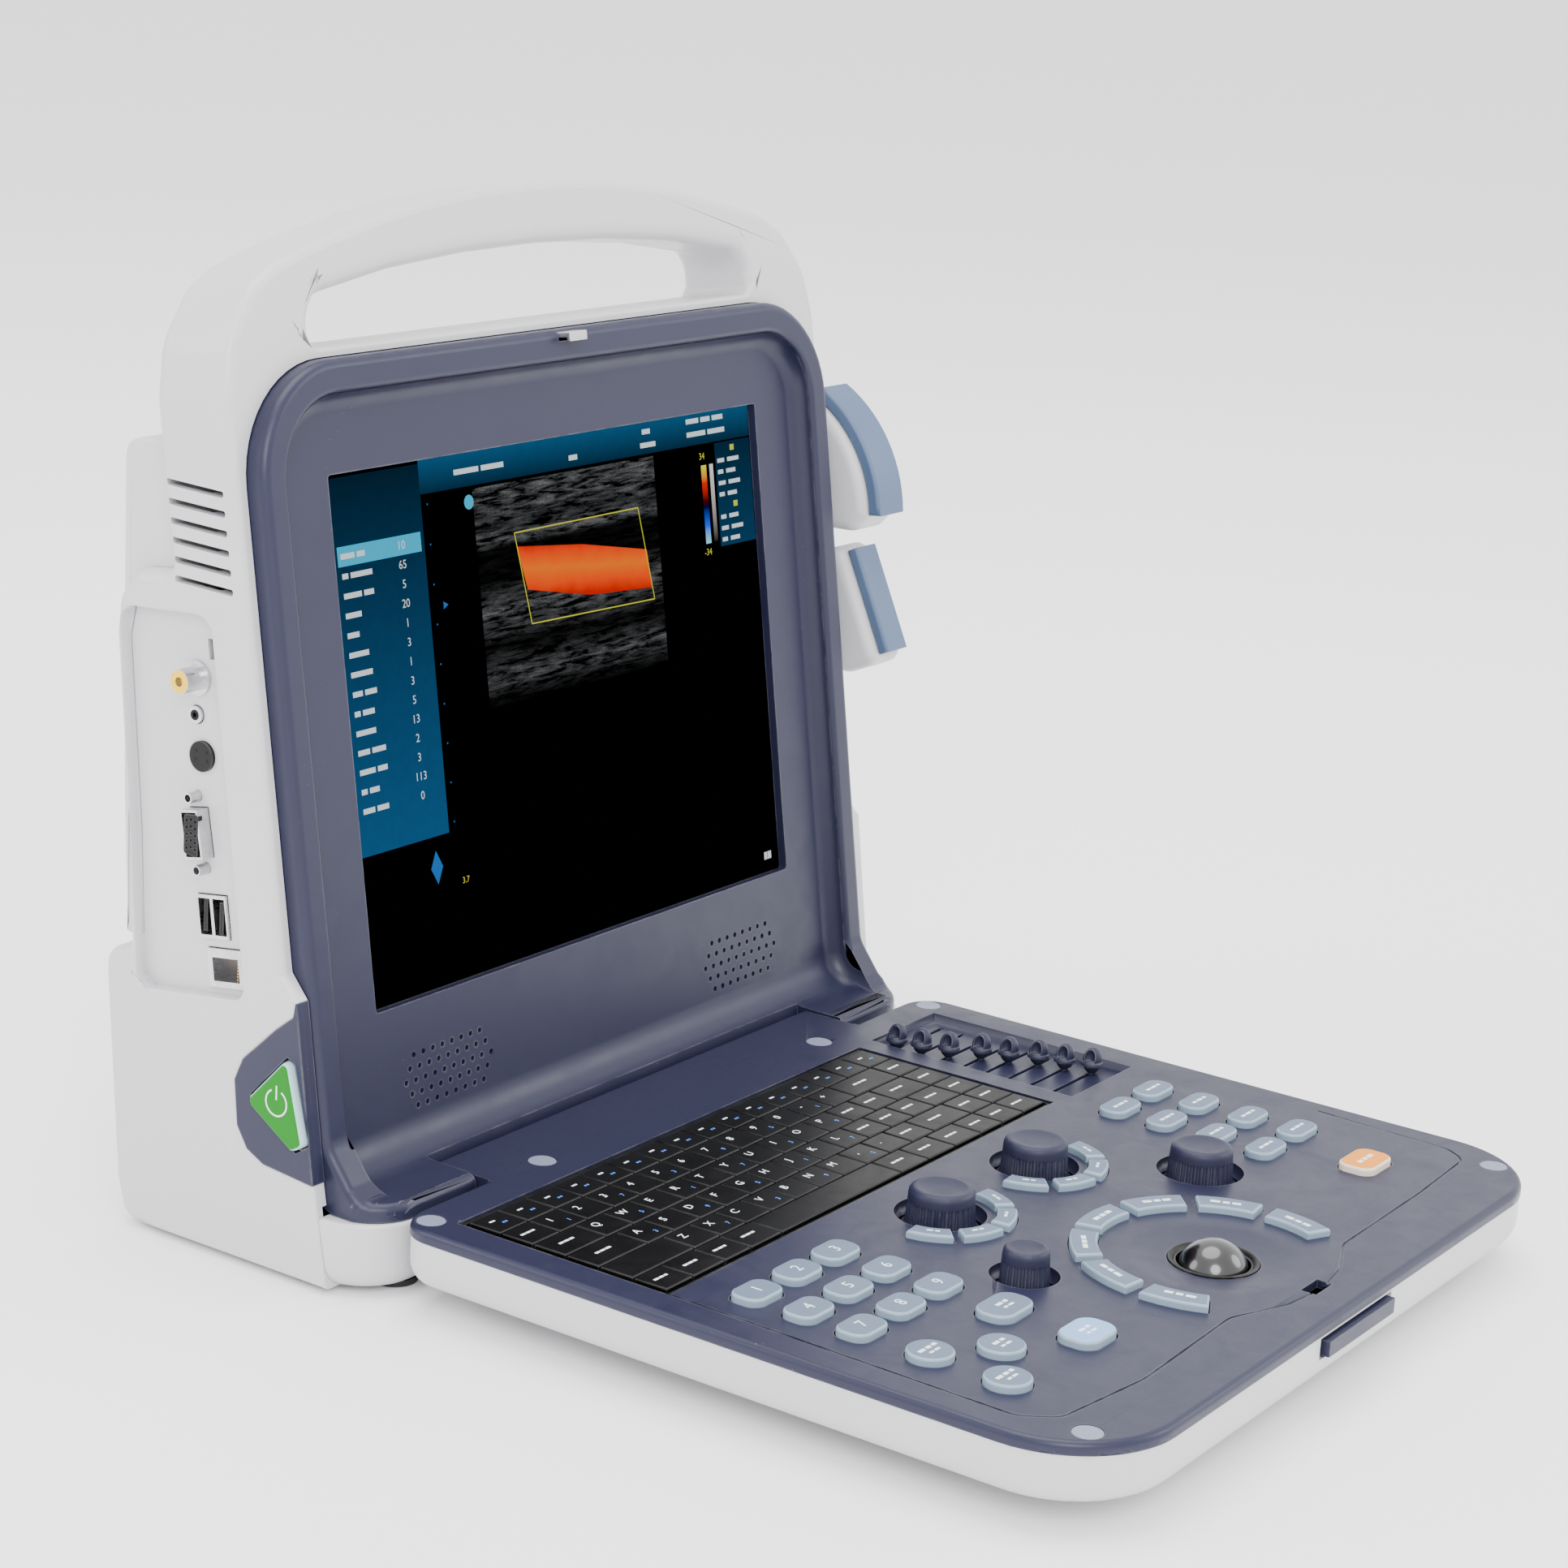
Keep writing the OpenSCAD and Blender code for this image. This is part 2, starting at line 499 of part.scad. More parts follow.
// Every key shape grows by g, so the same shapes cut the cover's holes.
module mode_shapes(g = 0) for (x = mode_x, y = mode_y) translate([x, y]) round_rect(key_w + 2 * g, key_d + 2 * g, 5);
module patient_shapes(g = 0) for (x = patient_x, y = patient_y) translate([x, y]) round_rect(19 + 2 * g, 11 + 2 * g, 5);
module arc_key(r0, r1, mid, half, g) {
    ga = g / (r0 + r1) * 2 * 57.3;
    polygon(concat(arc([0, 0], r1 + g, mid - half - ga, mid + half + ga, 6), arc([0, 0], r0 - g, mid + half + ga, mid - half - ga, 6)));
}
module ring_shapes(g = 0) for (k = [-3:3]) translate(ball_xy) arc_key(39, 48.5, 90 + k * 34, 14, g);
module knob_key_shapes(g = 0) for (i = [0, 1], k = [-1.5:1:1.5])
    translate([knobs[i][0], knobs[i][1]]) arc_key(19.2, 26.2, -90 + k * 44, 18, g);
module view_shapes(g = 0) {
    for (p = view_xy) translate(p) circle(7.8 + g);
    translate(store_xy) round_rect(21 + 2 * g, 14 + 2 * g, 6);
    translate(probe_key_xy) round_rect(20 + 2 * g, 15 + 2 * g, 6);
}
module freeze_shape(g = 0) translate(freeze_xy) round_rect(21 + 2 * g, 14 + 2 * g, 5);

kbd_x0 = -149;
kbd_x1 = 91;
kbd_y0 = -169;
kbd_y1 = -82;
tgc_x0 = 101;
tgc_x1 = 146;
tgc_floor_z = 29;
tgc_y = [for (i = [0:7]) -88.6 - i * 10];
tgc_rest_x = [107.5, 109.5, 113.5, 121, 125, 130.5, 133.5, 137.1];
// The slot that the rim's catch enters when the panel is folded up.
hinge_v = (hinge_z - lcd_z - (rim_proud + hinge_drop) * sin(tilt)) / cos(tilt);
catch_slot_y = hinge_y - (rim_top_v - 2.7 - hinge_v);

module panel_cover() color(slate) difference() {
    union() {
        slab(panel_z - cover_t, panel_z) panel_outline();
        difference() {
            slab(28, panel_z - 1) panel_outline();
            slab(20, 40) panel_outline(2.5);
        }
        for (k = knobs) translate([k[0], k[1], 25.2]) cylinder(r = k[2] + 1.5, h = 5);
        slab(tgc_floor_z - 1.6, panel_z - 1) translate([tgc_x0 - 1.5, -172.5]) square([tgc_x1 - tgc_x0 + 3, 93]);
        slab(hinge_z - hinge_drop, panel_z) translate([-tongue_half_w, panel_back_y - 2]) square([2 * tongue_half_w, hinge_y - panel_back_y + 2]);
        translate([-tongue_half_w, hinge_y, hinge_z]) rotate([0, 90, 0]) cylinder(r = hinge_drop, h = 2 * tongue_half_w);
    }
    slab(20, 40) translate([kbd_x0, kbd_y0]) square([kbd_x1 - kbd_x0, kbd_y1 - kbd_y0]);
    slab(tgc_floor_z, 40) translate([tgc_x0, -171]) square([tgc_x1 - tgc_x0, 90]);
    for (y = tgc_y) slab(20, 40) translate([105, y - 0.9]) square([36, 1.8]);
    for (k = knobs) translate([k[0], k[1], 0]) {
        translate([0, 0, well_floor_z]) cylinder(r = k[2], h = 20);
        cylinder(r = shaft_r + 0.15, h = 40);
    }
    translate([ball_xy[0], ball_xy[1], panel_z - 1.6]) cylinder(r1 = 18, r2 = dish_r, h = 1.61);
    translate([ball_xy[0], ball_xy[1], 0]) cylinder(r = ring_r + 0.3, h = 60);
    slab(20, 40) { mode_shapes(key_gap); patient_shapes(key_gap); ring_shapes(key_gap); knob_key_shapes(key_gap);
        view_shapes(key_gap); freeze_shape(key_gap); }
    both_sides() for (p = screw_cap_xy) translate([p[0], p[1], panel_z - 1.5]) cylinder(r = 5.05, h = 5);
    both_sides() translate([90, hinge_y, hinge_z]) rotate([0, 90, 0]) cylinder(r = 1.5, h = 40);
    translate([-6, catch_slot_y - 2.8, 20]) cube([12, 5.6, 20]);
}
module panel_tray() color(white) difference() {
    slab(panel_under_z, 27.9) panel_outline(0.3);
    slab(panel_under_z + 2.5, 40) panel_outline(3);
    translate([-26, panel_front_y - 2, 19.5]) cube([52, 6, 7.5]);
    slab(hinge_z - hinge_drop - 0.3, 40) translate([-tongue_half_w - 0.3, panel_back_y - 2.3])
        square([2 * tongue_half_w + 0.6, 10]);
}
module keyboard_base() color(dark) difference() {
    slab(25, 31.6) translate([kbd_x0 + 0.4, kbd_y0 + 0.4]) square([kbd_x1 - kbd_x0 - 0.8, kbd_y1 - kbd_y0 - 0.8]);
    slab(27.8, 40) translate([kbd_x0 + 1.6, kbd_y0 + 1.6]) square([kbd_x1 - kbd_x0 - 3.2, kbd_y1 - kbd_y0 - 3.2]);
}
module control_board() color(board_green) difference() {
    union() {
        slab(22.6, 24.2) translate([-150, -318]) square([300, 142]);
        slab(22.6, 24.2) translate([96, -177]) square([54, 97]);
        for (k = knobs) translate([k[0], k[1], 14]) slab(0, 9) square(14, center = true);
    }
    translate([ball_xy[0], ball_xy[1], 0]) cylinder(r = 16.5, h = 60);
}
module trackball_ring() color(dark) translate([ball_xy[0], ball_xy[1], 0]) rotate_extrude()
    polygon([[11.6, 31.4], [15.5, 31], [15.5, 29.6], [15, 29.6], [15, 16], [13.2, 16], [13.2, 29.4], [11.6, 30.4]]);
module trackball() color([0.04, 0.04, 0.05]) translate([ball_xy[0], ball_xy[1], ball_z]) sphere(d = ball_d);
module screw_caps() color([0.45, 0.50, 0.58]) both_sides() for (p = screw_cap_xy)
    translate([p[0], p[1], panel_z - 1.5]) cylinder(r = 5, h = 1.4);
module hinge_pins() color(metal) both_sides() translate([92, hinge_y, hinge_z]) rotate([0, 90, 0])
    cylinder(r = 1.5, h = tongue_half_w + 12 - 92);

knob_base_z = well_floor_z + 0.4;
module knob(k) color(slate) translate([knobs[k][0], knobs[k][1], 0]) difference() {
    union() {
        translate([0, 0, knob_base_z]) cylinder(r = knobs[k][3] + 0.8, h = 3);
        translate([0, 0, knob_base_z]) cylinder(r = knobs[k][3], h = panel_z + knob_rise - knob_base_z);
        translate([0, 0, 24.4]) cylinder(r = shaft_r, h = 6);
    }
    translate([0, 0, panel_z + knob_rise - 1]) cylinder(r1 = knobs[k][3] - 4.5, r2 = knobs[k][3] - 2, h = 1.01);
}
module focus_knob() knob(0);
module zoom_knob() knob(1);
module gain_knob() knob(2);
module menu_knob() knob(3);

module tgc_slider(i) color(slate) translate([tgc_rest_x[i], tgc_y[i], 0]) {
    translate([-2, -0.65, 24.6]) cube([4, 1.3, 6]);
    translate([-4.4, -3.6, tgc_floor_z + 0.3]) cube([8.8, 7.2, 3]);
    translate([-1, 0, tgc_floor_z + 6.6]) rotate([0, 90, 0]) cylinder(r = 3.8, h = 3.6);
    translate([-1, -3.8, tgc_floor_z + 1]) cube([3.6, 7.6, 5.6]);
}
module tgc_slider_1() tgc_slider(0);
module tgc_slider_2() tgc_slider(1);
module tgc_slider_3() tgc_slider(2);
module tgc_slider_4() tgc_slider(3);
module tgc_slider_5() tgc_slider(4);
module tgc_slider_6() tgc_slider(5);
module tgc_slider_7() tgc_slider(6);
module tgc_slider_8() tgc_slider(7);

key_top_z = panel_z + key_proud;
key_base_z = panel_z - cover_t + 0.2;
module mode_keys() color(key_tint) slab(key_base_z, key_top_z) mode_shapes();
module patient_keys() color(key_tint) slab(key_base_z, key_top_z) patient_shapes();
module ring_keys() color(key_tint) slab(key_base_z, key_top_z) ring_shapes();
module knob_keys() color(key_tint) slab(key_base_z, key_top_z) knob_key_shapes();
module view_keys() color(key_tint) slab(key_base_z, key_top_z) view_shapes();
module freeze_key() color("orange") slab(key_base_z, key_top_z) freeze_shape();

// Keyboard: six rows, each a list of key widths in key pitches; every row is 16 pitches wide.
kbd_rows = [[1, 1, 1, 1, 1, 1, 1, 1, 1, 1, 1, 1, 1, 1, 1, 1],
            [1, 1, 1, 1, 1, 1, 1, 1, 1, 1, 1, 1, 1, 2, 1],
            [1.5, 1, 1, 1, 1, 1, 1, 1, 1, 1, 1, 1, 1, 1.5, 1],
            [1.8, 1, 1, 1, 1, 1, 1, 1, 1, 1, 1, 1, 1, 1.2, 1],
            [2.3, 1, 1, 1, 1, 1, 1, 1, 1, 1, 1, 1.7, 1, 1],
            [1, 1.2, 1, 1.2, 5, 1.2, 1.2, 1.2, 1, 1, 1]];
kbd_pitch = (kbd_x1 - kbd_x0 - 5) / 16;
kbd_row_d = (kbd_y1 - kbd_y0 - 5) / 6;
function sum_to(list, n) = n == 0 ? 0 : list[n - 1] + sum_to(list, n - 1);
module letter_keys() color(dark) for (r = [0:5], i = [0:len(kbd_rows[r]) - 1])
    translate([kbd_x0 + 2.9 + sum_to(kbd_rows[r], i) * kbd_pitch, kbd_y1 - 2.1 - (r + 1) * kbd_row_d, 29.6])
        cube([kbd_rows[r][i] * kbd_pitch - 0.8, kbd_row_d - 0.8, 3]);

module panel_latch() color(slate) {
    translate([-24, panel_front_y - 2.2, 20.5]) cube([48, 6, 5.5]);
    translate([-8, panel_front_y + 3.5, 21]) cube([16, 5, 4.5]);
}

main_shell();
rear_cover();
base_front();
screen_bezel();
screen_glass();
lcd_module();
lid_catch();
power_plate();
io_panel();
rca_socket();
audio_jack();
svideo_socket();
vga_socket();
usb_socket();
lan_socket();
mains_inlet();
probe_sockets();
main_board();
power_supply();
cooling_fan();
storage_drive();
speakers();
battery();
hinge_brackets();
rubber_feet();
cover_screws();
probe_holder();
convex_probe();
convex_lens();
linear_probe();
linear_lens();
panel_cover();
panel_tray();
keyboard_base();
control_board();
trackball_ring();
screw_caps();
hinge_pins();
power_button();
panel_latch();
trackball();
focus_knob();
zoom_knob();
gain_knob();
menu_knob();
tgc_slider_1();
tgc_slider_2();
tgc_slider_3();
tgc_slider_4();
tgc_slider_5();
tgc_slider_6();
tgc_slider_7();
tgc_slider_8();
letter_keys();
mode_keys();
patient_keys();
ring_keys();
knob_keys();
view_keys();
freeze_key();
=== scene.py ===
"""Portable ultrasound scanner: its shells, screen, keys, knobs and finishes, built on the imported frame.

Lengths inside the functions are millimetres; every mesh is brought to metres when it is made an object.
"""
import math

import bmesh
import bpy
from bpy.props import FloatProperty, FloatVectorProperty, IntProperty, PointerProperty
from mathutils import Matrix, Vector


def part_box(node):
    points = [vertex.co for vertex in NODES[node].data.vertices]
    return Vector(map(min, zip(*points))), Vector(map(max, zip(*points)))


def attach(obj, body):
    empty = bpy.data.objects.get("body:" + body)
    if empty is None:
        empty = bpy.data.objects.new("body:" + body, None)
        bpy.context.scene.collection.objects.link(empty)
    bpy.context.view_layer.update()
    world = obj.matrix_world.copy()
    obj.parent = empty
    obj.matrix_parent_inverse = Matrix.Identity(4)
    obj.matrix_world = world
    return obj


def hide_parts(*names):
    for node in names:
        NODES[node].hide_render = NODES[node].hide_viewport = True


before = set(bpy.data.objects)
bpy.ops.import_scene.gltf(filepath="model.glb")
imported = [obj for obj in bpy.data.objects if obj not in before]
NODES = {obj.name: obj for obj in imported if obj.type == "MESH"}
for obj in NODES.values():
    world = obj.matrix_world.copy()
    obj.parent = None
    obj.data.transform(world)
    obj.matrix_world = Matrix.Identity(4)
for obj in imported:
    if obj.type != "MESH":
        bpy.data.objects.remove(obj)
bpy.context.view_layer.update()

bl_info = {
    "name": "Portable ultrasound scanner",
    "version": (1, 0, 0),
    "blender": (4, 5, 0),
    "location": "View3D > Sidebar > Scanner",
    "description": "Builds the scanner's shells, control panel, screen, sockets and probes",
    "category": "Object",
}

MM = 0.001
TO_METRES = Matrix.Scale(MM, 4)
SAME_PLACE = 2e-6
FLAT_ANGLE = math.radians(0.8)

# The screen's own frame: x to the right, y from the screen to the back, z up the screen.
LEAN = math.radians(8.7)
SCREEN_AT = Vector((0, -6, 175.35))
TILTED = Matrix.Translation(SCREEN_AT) @ Matrix.Rotation(-LEAN, 4, "X")


def srgb(red, green, blue):
    """A display colour from 0 to 255 as a linear colour with alpha."""
    channels = [c / 255 for c in (red, green, blue)]
    return [c / 12.92 if c <= 0.04045 else ((c + 0.055) / 1.055) ** 2.4 for c in channels] + [1.0]


# ---- The user's sizes and colours ----

def length(name, description, default):
    """A size in metres that the sidebar shows."""
    return FloatProperty(name=name, description=description, default=default, min=0, unit="LENGTH",
                         precision=4)


def colour(name, description, red, green, blue):
    """A colour that the sidebar shows."""
    return FloatVectorProperty(name=name, description=description, default=srgb(red, green, blue),
                               size=4, min=0, max=1, subtype="COLOR")


class ScannerSizes(bpy.types.PropertyGroup):
    """Roundings and small sizes of the scanner's visible pieces."""
    handle_round: length("Grip rounding", "Radius of the edges inside the carrying handle", 0.0062)
    shell_round: length("Shell rounding", "Radius of the white shell's outer edges", 0.0034)
    bulge_round: length("Back rounding", "Radius of the edges of the back bulge", 0.005)
    rim_round: length("Rim rounding", "Radius of the bezel rim's outer edge", 0.0034)
    recess_round: length("Recess rounding", "Radius where the bezel's recess meets its walls", 0.0068)
    cover_round: length("Panel rounding", "Radius of the panel cover's outer edge", 0.0024)
    tray_round: length("Tray rounding", "Radius of the panel tray's lower edge", 0.0088)
    key_round: length("Key rounding", "Radius of the function keys' top edges", 0.0011)
    fine_round: length("Fine rounding", "Radius of small moulded edges", 0.0004)
    knob_ribs: IntProperty(name="Knob ribs", description="Ribs round each large knob", default=30, min=8,
                           max=60)


class ScannerColours(bpy.types.PropertyGroup):
    """Colours of the scanner's finishes."""
    shell: colour("Shell", "White moulded shells", 196, 196, 199)
    slate: colour("Slate", "Painted bezel, panel cover and knobs", 32, 33, 56)
    key_top: colour("Key top", "Printed tops of the function keys", 92, 108, 128)
    key_side: colour("Key side", "Soft sides of the function keys", 134, 154, 170)
    probe_key: colour("Probe key", "Top of the probe key", 132, 168, 214)
    freeze: colour("Freeze key", "Top of the freeze key", 232, 140, 0)
    button: colour("Power button", "Face of the power button", 0, 118, 14)
    keyboard: colour("Keyboard", "Letter keys", 5, 5, 6)
    legend: colour("Legends", "White printing", 232, 238, 240)
    second_legend: colour("Second legends", "Blue printing", 74, 132, 226)
    lens: colour("Lens", "Acoustic lenses of the probes", 72, 92, 122)


def sizes():
    """The scene's scanner sizes, with lengths in millimetres."""
    group = bpy.context.scene.scanner_sizes
    return {key: getattr(group, key) / (MM if key != "knob_ribs" else 1)
            for key in ScannerSizes.__annotations__}


# ---- Outlines ----

def fillet(corners, steps=6):
    """An outline whose corners (a, b, radius) are rounded; a corner (a, b) stays sharp."""
    outline = []
    for i, corner in enumerate(corners):
        tip = Vector(corner[:2])
        if len(corner) < 3:
            outline.append(tip)
            continue
        back = (Vector(corners[i - 1][:2]) - tip).normalized()
        ahead = (Vector(corners[(i + 1) % len(corners)][:2]) - tip).normalized()
        half = back.angle(ahead) / 2
        centre = tip + (back + ahead).normalized() * (corner[2] / math.sin(half))
        reach = corner[2] / math.tan(half)
        first = tip + back * reach - centre
        last = tip + ahead * reach - centre
        start = math.atan2(first.y, first.x)
        sweep = (math.atan2(last.y, last.x) - start + math.pi) % (2 * math.pi) - math.pi
        for s in range(steps + 1):
            angle = start + sweep * s / steps
            outline.append(centre + corner[2] * Vector((math.cos(angle), math.sin(angle))))
    return outline


def arc(centre, radius, start, end, steps=12):
    """Points on a circle from one angle to another, in degrees."""
    angles = [math.radians(start + (end - start) * s / steps) for s in range(steps + 1)]
    return [Vector((centre[0] + radius * math.cos(a), centre[1] + radius * math.sin(a))) for a in angles]


def round_rect(low, high, radius, steps=6):
    """A rectangle between two corners with rounded corners."""
    return fillet([(low[0], low[1], radius), (high[0], low[1], radius),
                   (high[0], high[1], radius), (low[0], high[1], radius)], steps)


def grown(outline, margin):
    """An outline moved outwards by a margin."""
    area = sum(a.x * b.y - b.x * a.y for a, b in zip(outline, outline[1:] + outline[:1]))
    sign = 1 if area > 0 else -1
    moved = []
    for i, point in enumerate(outline):
        before = (point - outline[i - 1]).normalized()
        after = (outline[(i + 1) % len(outline)] - point).normalized()
        out = sign * Vector((before.y + after.y, -before.x - after.x)).normalized()
        across = sign * Vector((before.y, -before.x))
        moved.append(point + out * margin / max(0.3, out.dot(across)))
    return moved


def on_tilt(w, v):
    """The (y, z) of a point w behind the screen's plane and v up it."""
    point = TILTED @ Vector((0, w, v))
    return point.y, point.z


def back_at(z, w):
    """The y of the plane w behind the screen, at height z."""
    return SCREEN_AT.y + (z - SCREEN_AT.z) * math.tan(LEAN) + w / math.cos(LEAN)


# ---- Solids ----

SPREAD = {"x": lambda a, b, s: (s, a, b), "y": lambda a, b, s: (a, s, b), "z": lambda a, b, s: (a, b, s)}


def prism(outline, low, high, axis="z"):
    """A closed solid: an outline swept along one axis, between two places on it."""
    spread = SPREAD[axis]
    bm = bmesh.new()
    face = bm.faces.new([bm.verts.new(spread(p[0], p[1], low)) for p in outline])
    swept = bmesh.ops.extrude_face_region(bm, geom=[face])["geom"]
    lifted = [v for v in swept if isinstance(v, bmesh.types.BMVert)]
    bmesh.ops.translate(bm, verts=lifted, vec=Vector(spread(0, 0, high - low)))
    bmesh.ops.recalc_face_normals(bm, faces=bm.faces)
    return bm


def stack(loops):
    """A closed solid through equal loops of 3-D points, each drawn out from the one before."""
    bm = bmesh.new()
    ring = [bm.verts.new(p) for p in loops[0]]
    face = bm.faces.new(ring)
    for loop in loops[1:]:
        swept = bmesh.ops.extrude_face_region(bm, geom=[face, *face.edges])["geom"]
        fresh = {v.co.to_tuple(4): v for v in swept if isinstance(v, bmesh.types.BMVert)}
        face = next(f for f in swept if isinstance(f, bmesh.types.BMFace))
        ring = [fresh[v.co.to_tuple(4)] for v in ring]
        for vert, place in zip(ring, loop):
            vert.co = place
    bmesh.ops.recalc_face_normals(bm, faces=bm.faces)
    return bm


def mouth(outline, deep, outer, lip, axis="x"):
    """A cutter for a hole with a softly flared lip, from its floor to just outside a wall."""
    spread = SPREAD[axis]
    way = 1 if outer > deep else -1
    steps = [(deep, 0), (outer - way * lip, 0), (outer - way * lip * 0.4, lip * 0.18),
             (outer - way * lip * 0.1, lip * 0.55), (outer, lip * 1.1), (outer + way * 3, lip * 1.1)]
    return stack([[spread(p.x, p.y, place) for p in grown(outline, grow)] for place, grow in steps])


def turned(profile, segments=64):
    """A closed solid of revolution about Z from (radius, height) points that start and end on the axis."""
    bm = bmesh.new()
    verts = [bm.verts.new((r, 0, z)) for r, z in profile]
    edges = [bm.edges.new(pair) for pair in zip(verts, verts[1:])]
    bmesh.ops.spin(bm, geom=verts + edges, cent=(0, 0, 0), axis=(0, 0, 1), angle=2 * math.pi,
                   steps=segments, use_merge=True)
    bmesh.ops.remove_doubles(bm, verts=bm.verts, dist=1e-4)
    bmesh.ops.recalc_face_normals(bm, faces=bm.faces)
    return bm


def rod(radius, low, high, segments=64):
    """A round rod about Z between two heights."""
    return turned([(0, low), (radius, low), (radius, high), (0, high)], segments)


def ball(radii, across, upwards):
    """A ball, or an egg, with a radius along each axis."""
    bm = bmesh.new()
    bmesh.ops.create_uvsphere(bm, u_segments=across, v_segments=upwards, radius=1)
    bmesh.ops.scale(bm, vec=radii, verts=bm.verts)
    return bm


def block(low, high):
    """A box between two corners."""
    bm = bmesh.new()
    bmesh.ops.create_cube(bm, size=1)
    low, high = Vector(low), Vector(high)
    bmesh.ops.scale(bm, vec=high - low, verts=bm.verts)
    bmesh.ops.translate(bm, vec=(low + high) / 2, verts=bm.verts)
    return bm


def at(x, y, z, turn=0.0, axis="Z"):
    """A place, with a turn in degrees about an axis."""
    return Matrix.Translation((x, y, z)) @ Matrix.Rotation(math.radians(turn), 4, axis)


def moved(bm, matrix):
    """The same solid, placed by a matrix."""
    bmesh.ops.transform(bm, matrix=matrix, verts=bm.verts)
    return bm


def together(parts):
    """Several solids in one mesh."""
    whole = bmesh.new()
    for bm in parts:
        mesh = bpy.data.meshes.new("part")
        bm.to_mesh(mesh)
        bm.free()
        whole.from_mesh(mesh)
        bpy.data.meshes.remove(mesh)
    return whole


def linked(name, bm):
    """A bmesh made an object in the scene."""
    mesh = bpy.data.meshes.new(name)
    bm.to_mesh(mesh)
    bm.free()
    obj = bpy.data.objects.new(name, mesh)
    bpy.context.scene.collection.objects.link(obj)
    return obj


def as_object(name, bm):
    """A solid in millimetres made a scene object in metres."""
    return linked(name, moved(bm, TO_METRES))


def in_millimetres(bm):
    """A solid in metres brought to millimetres."""
    bmesh.ops.scale(bm, vec=(1 / MM,) * 3, verts=bm.verts)
    return bm


def settle(obj):
    """Applies a piece's modifiers to its mesh."""
    graph = bpy.context.evaluated_depsgraph_get()
    mesh = bpy.data.meshes.new_from_object(obj.evaluated_get(graph), preserve_all_data_layers=True,
                                           depsgraph=graph)
    obj.modifiers.clear()
    obj.data = mesh
    return obj


def combine(obj, bm, operation):
    """Adds, cuts or keeps what a piece shares with another solid."""
    tool = as_object("tool", bm)
    step = obj.modifiers.new("combine", "BOOLEAN")
    step.operation = operation
    step.solver = "MANIFOLD"
    step.object = tool
    settle(obj)
    bpy.data.objects.remove(tool)
    return obj


def cut(obj, *parts):
    """Cuts solids that don't touch each other out of a piece."""
    return combine(obj, together(parts), "DIFFERENCE")


def soften(obj, widest, radius_of, angle=30, segments=3, clamp=False):
    """Rounds each edge by the radius in millimetres that radius_of gives for its middle and its faces."""
    bm = bmesh.new()
    bm.from_mesh(obj.data)
    weight = bm.edges.layers.float.get("bevel_weight_edge") or bm.edges.layers.float.new("bevel_weight_edge")
    limit = math.radians(angle)
    for edge in bm.edges:
        edge[weight] = 0
        if len(edge.link_faces) == 2 and edge.calc_face_angle(0) > limit:
            middle = (edge.verts[0].co + edge.verts[1].co) / 2 / MM
            edge[weight] = min(1, radius_of(middle, edge) / widest)
    bm.to_mesh(obj.data)
    bm.free()
    step = obj.modifiers.new("soften", "BEVEL")
    step.limit_method = "WEIGHT"
    step.width = widest * MM
    step.segments = segments
    step.use_clamp_overlap = clamp
    step.material = -1
    return settle(obj)


def joined_up(node):
    """A CAD node's loose triangles joined at their corners, in metres."""
    bm = bmesh.new()
    bm.from_mesh(NODES[node].data)
    bmesh.ops.remove_doubles(bm, verts=bm.verts, dist=SAME_PLACE)
    return bm


def merged_copy(node, name):
    """A copy of a CAD node with its loose triangles merged into flat faces."""
    bm = joined_up(node)
    bmesh.ops.dissolve_limit(bm, angle_limit=FLAT_ANGLE, verts=bm.verts, edges=bm.edges,
                             use_dissolve_boundaries=False)
    return linked(name, bm)


def cad_solid(node):
    """A CAD node's own solid, in millimetres."""
    return in_millimetres(joined_up(node))


def islands(node):
    """The separate solids of a CAD node, each as its corner points in millimetres."""
    bm = joined_up(node)
    left, found = set(bm.verts), []
    while left:
        todo, group = [left.pop()], []
        while todo:
            vert = todo.pop()
            group.append(vert.co / MM)
            for edge in vert.link_edges:
                other = edge.other_vert(vert)
                if other in left:
                    left.discard(other)
                    todo.append(other)
        found.append(group)
    bm.free()
    return sorted(found, key=lambda g: (-round(sum(p.y for p in g) / len(g)), sum(p.x for p in g) / len(g)))


def corners_of(points):
    """The lowest and highest corner of some points."""
    return (Vector([min(p[i] for p in points) for i in range(3)]),
            Vector([max(p[i] for p in points) for i in range(3)]))


def corners_mid(points):
    """The middle of the box round some points."""
    low, high = corners_of(points)
    return (low + high) / 2


def node_box(node):
    """A CAD node's corners in millimetres."""
    low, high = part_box(node)
    return low / MM, high / MM


def node_centre(node):
    """The middle of a CAD node in millimetres."""
    low, high = node_box(node)
    return (low + high) / 2


def finish(obj, body, materials, replaces=(), angle=32):
    """Gives a piece its shading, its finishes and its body."""
    mesh = obj.data
    for polygon in mesh.polygons:
        polygon.use_smooth = True
    mesh.set_sharp_from_angle(angle=math.radians(angle))
    numbers = [polygon.material_index for polygon in mesh.polygons]
    mesh.materials.clear()
    for material in materials:
        mesh.materials.append(material)
    mesh.polygons.foreach_set("material_index", numbers)
    if not obj.modifiers:
        normals = obj.modifiers.new("even shading", "WEIGHTED_NORMAL")
        normals.keep_sharp = True
    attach(obj, body)
    if replaces:
        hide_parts(*replaces)
    return obj


def dress(material, *nodes):
    """Gives carried-over CAD nodes their finish."""
    for node in nodes:
        mesh = NODES[node].data
        mesh.materials.clear()
        mesh.materials.append(material)


def paint_faces(obj, index, test):
    """Gives the faces that pass a test another of the piece's materials."""
    for polygon in obj.data.polygons:
        if test(polygon):
            polygon.material_index = index


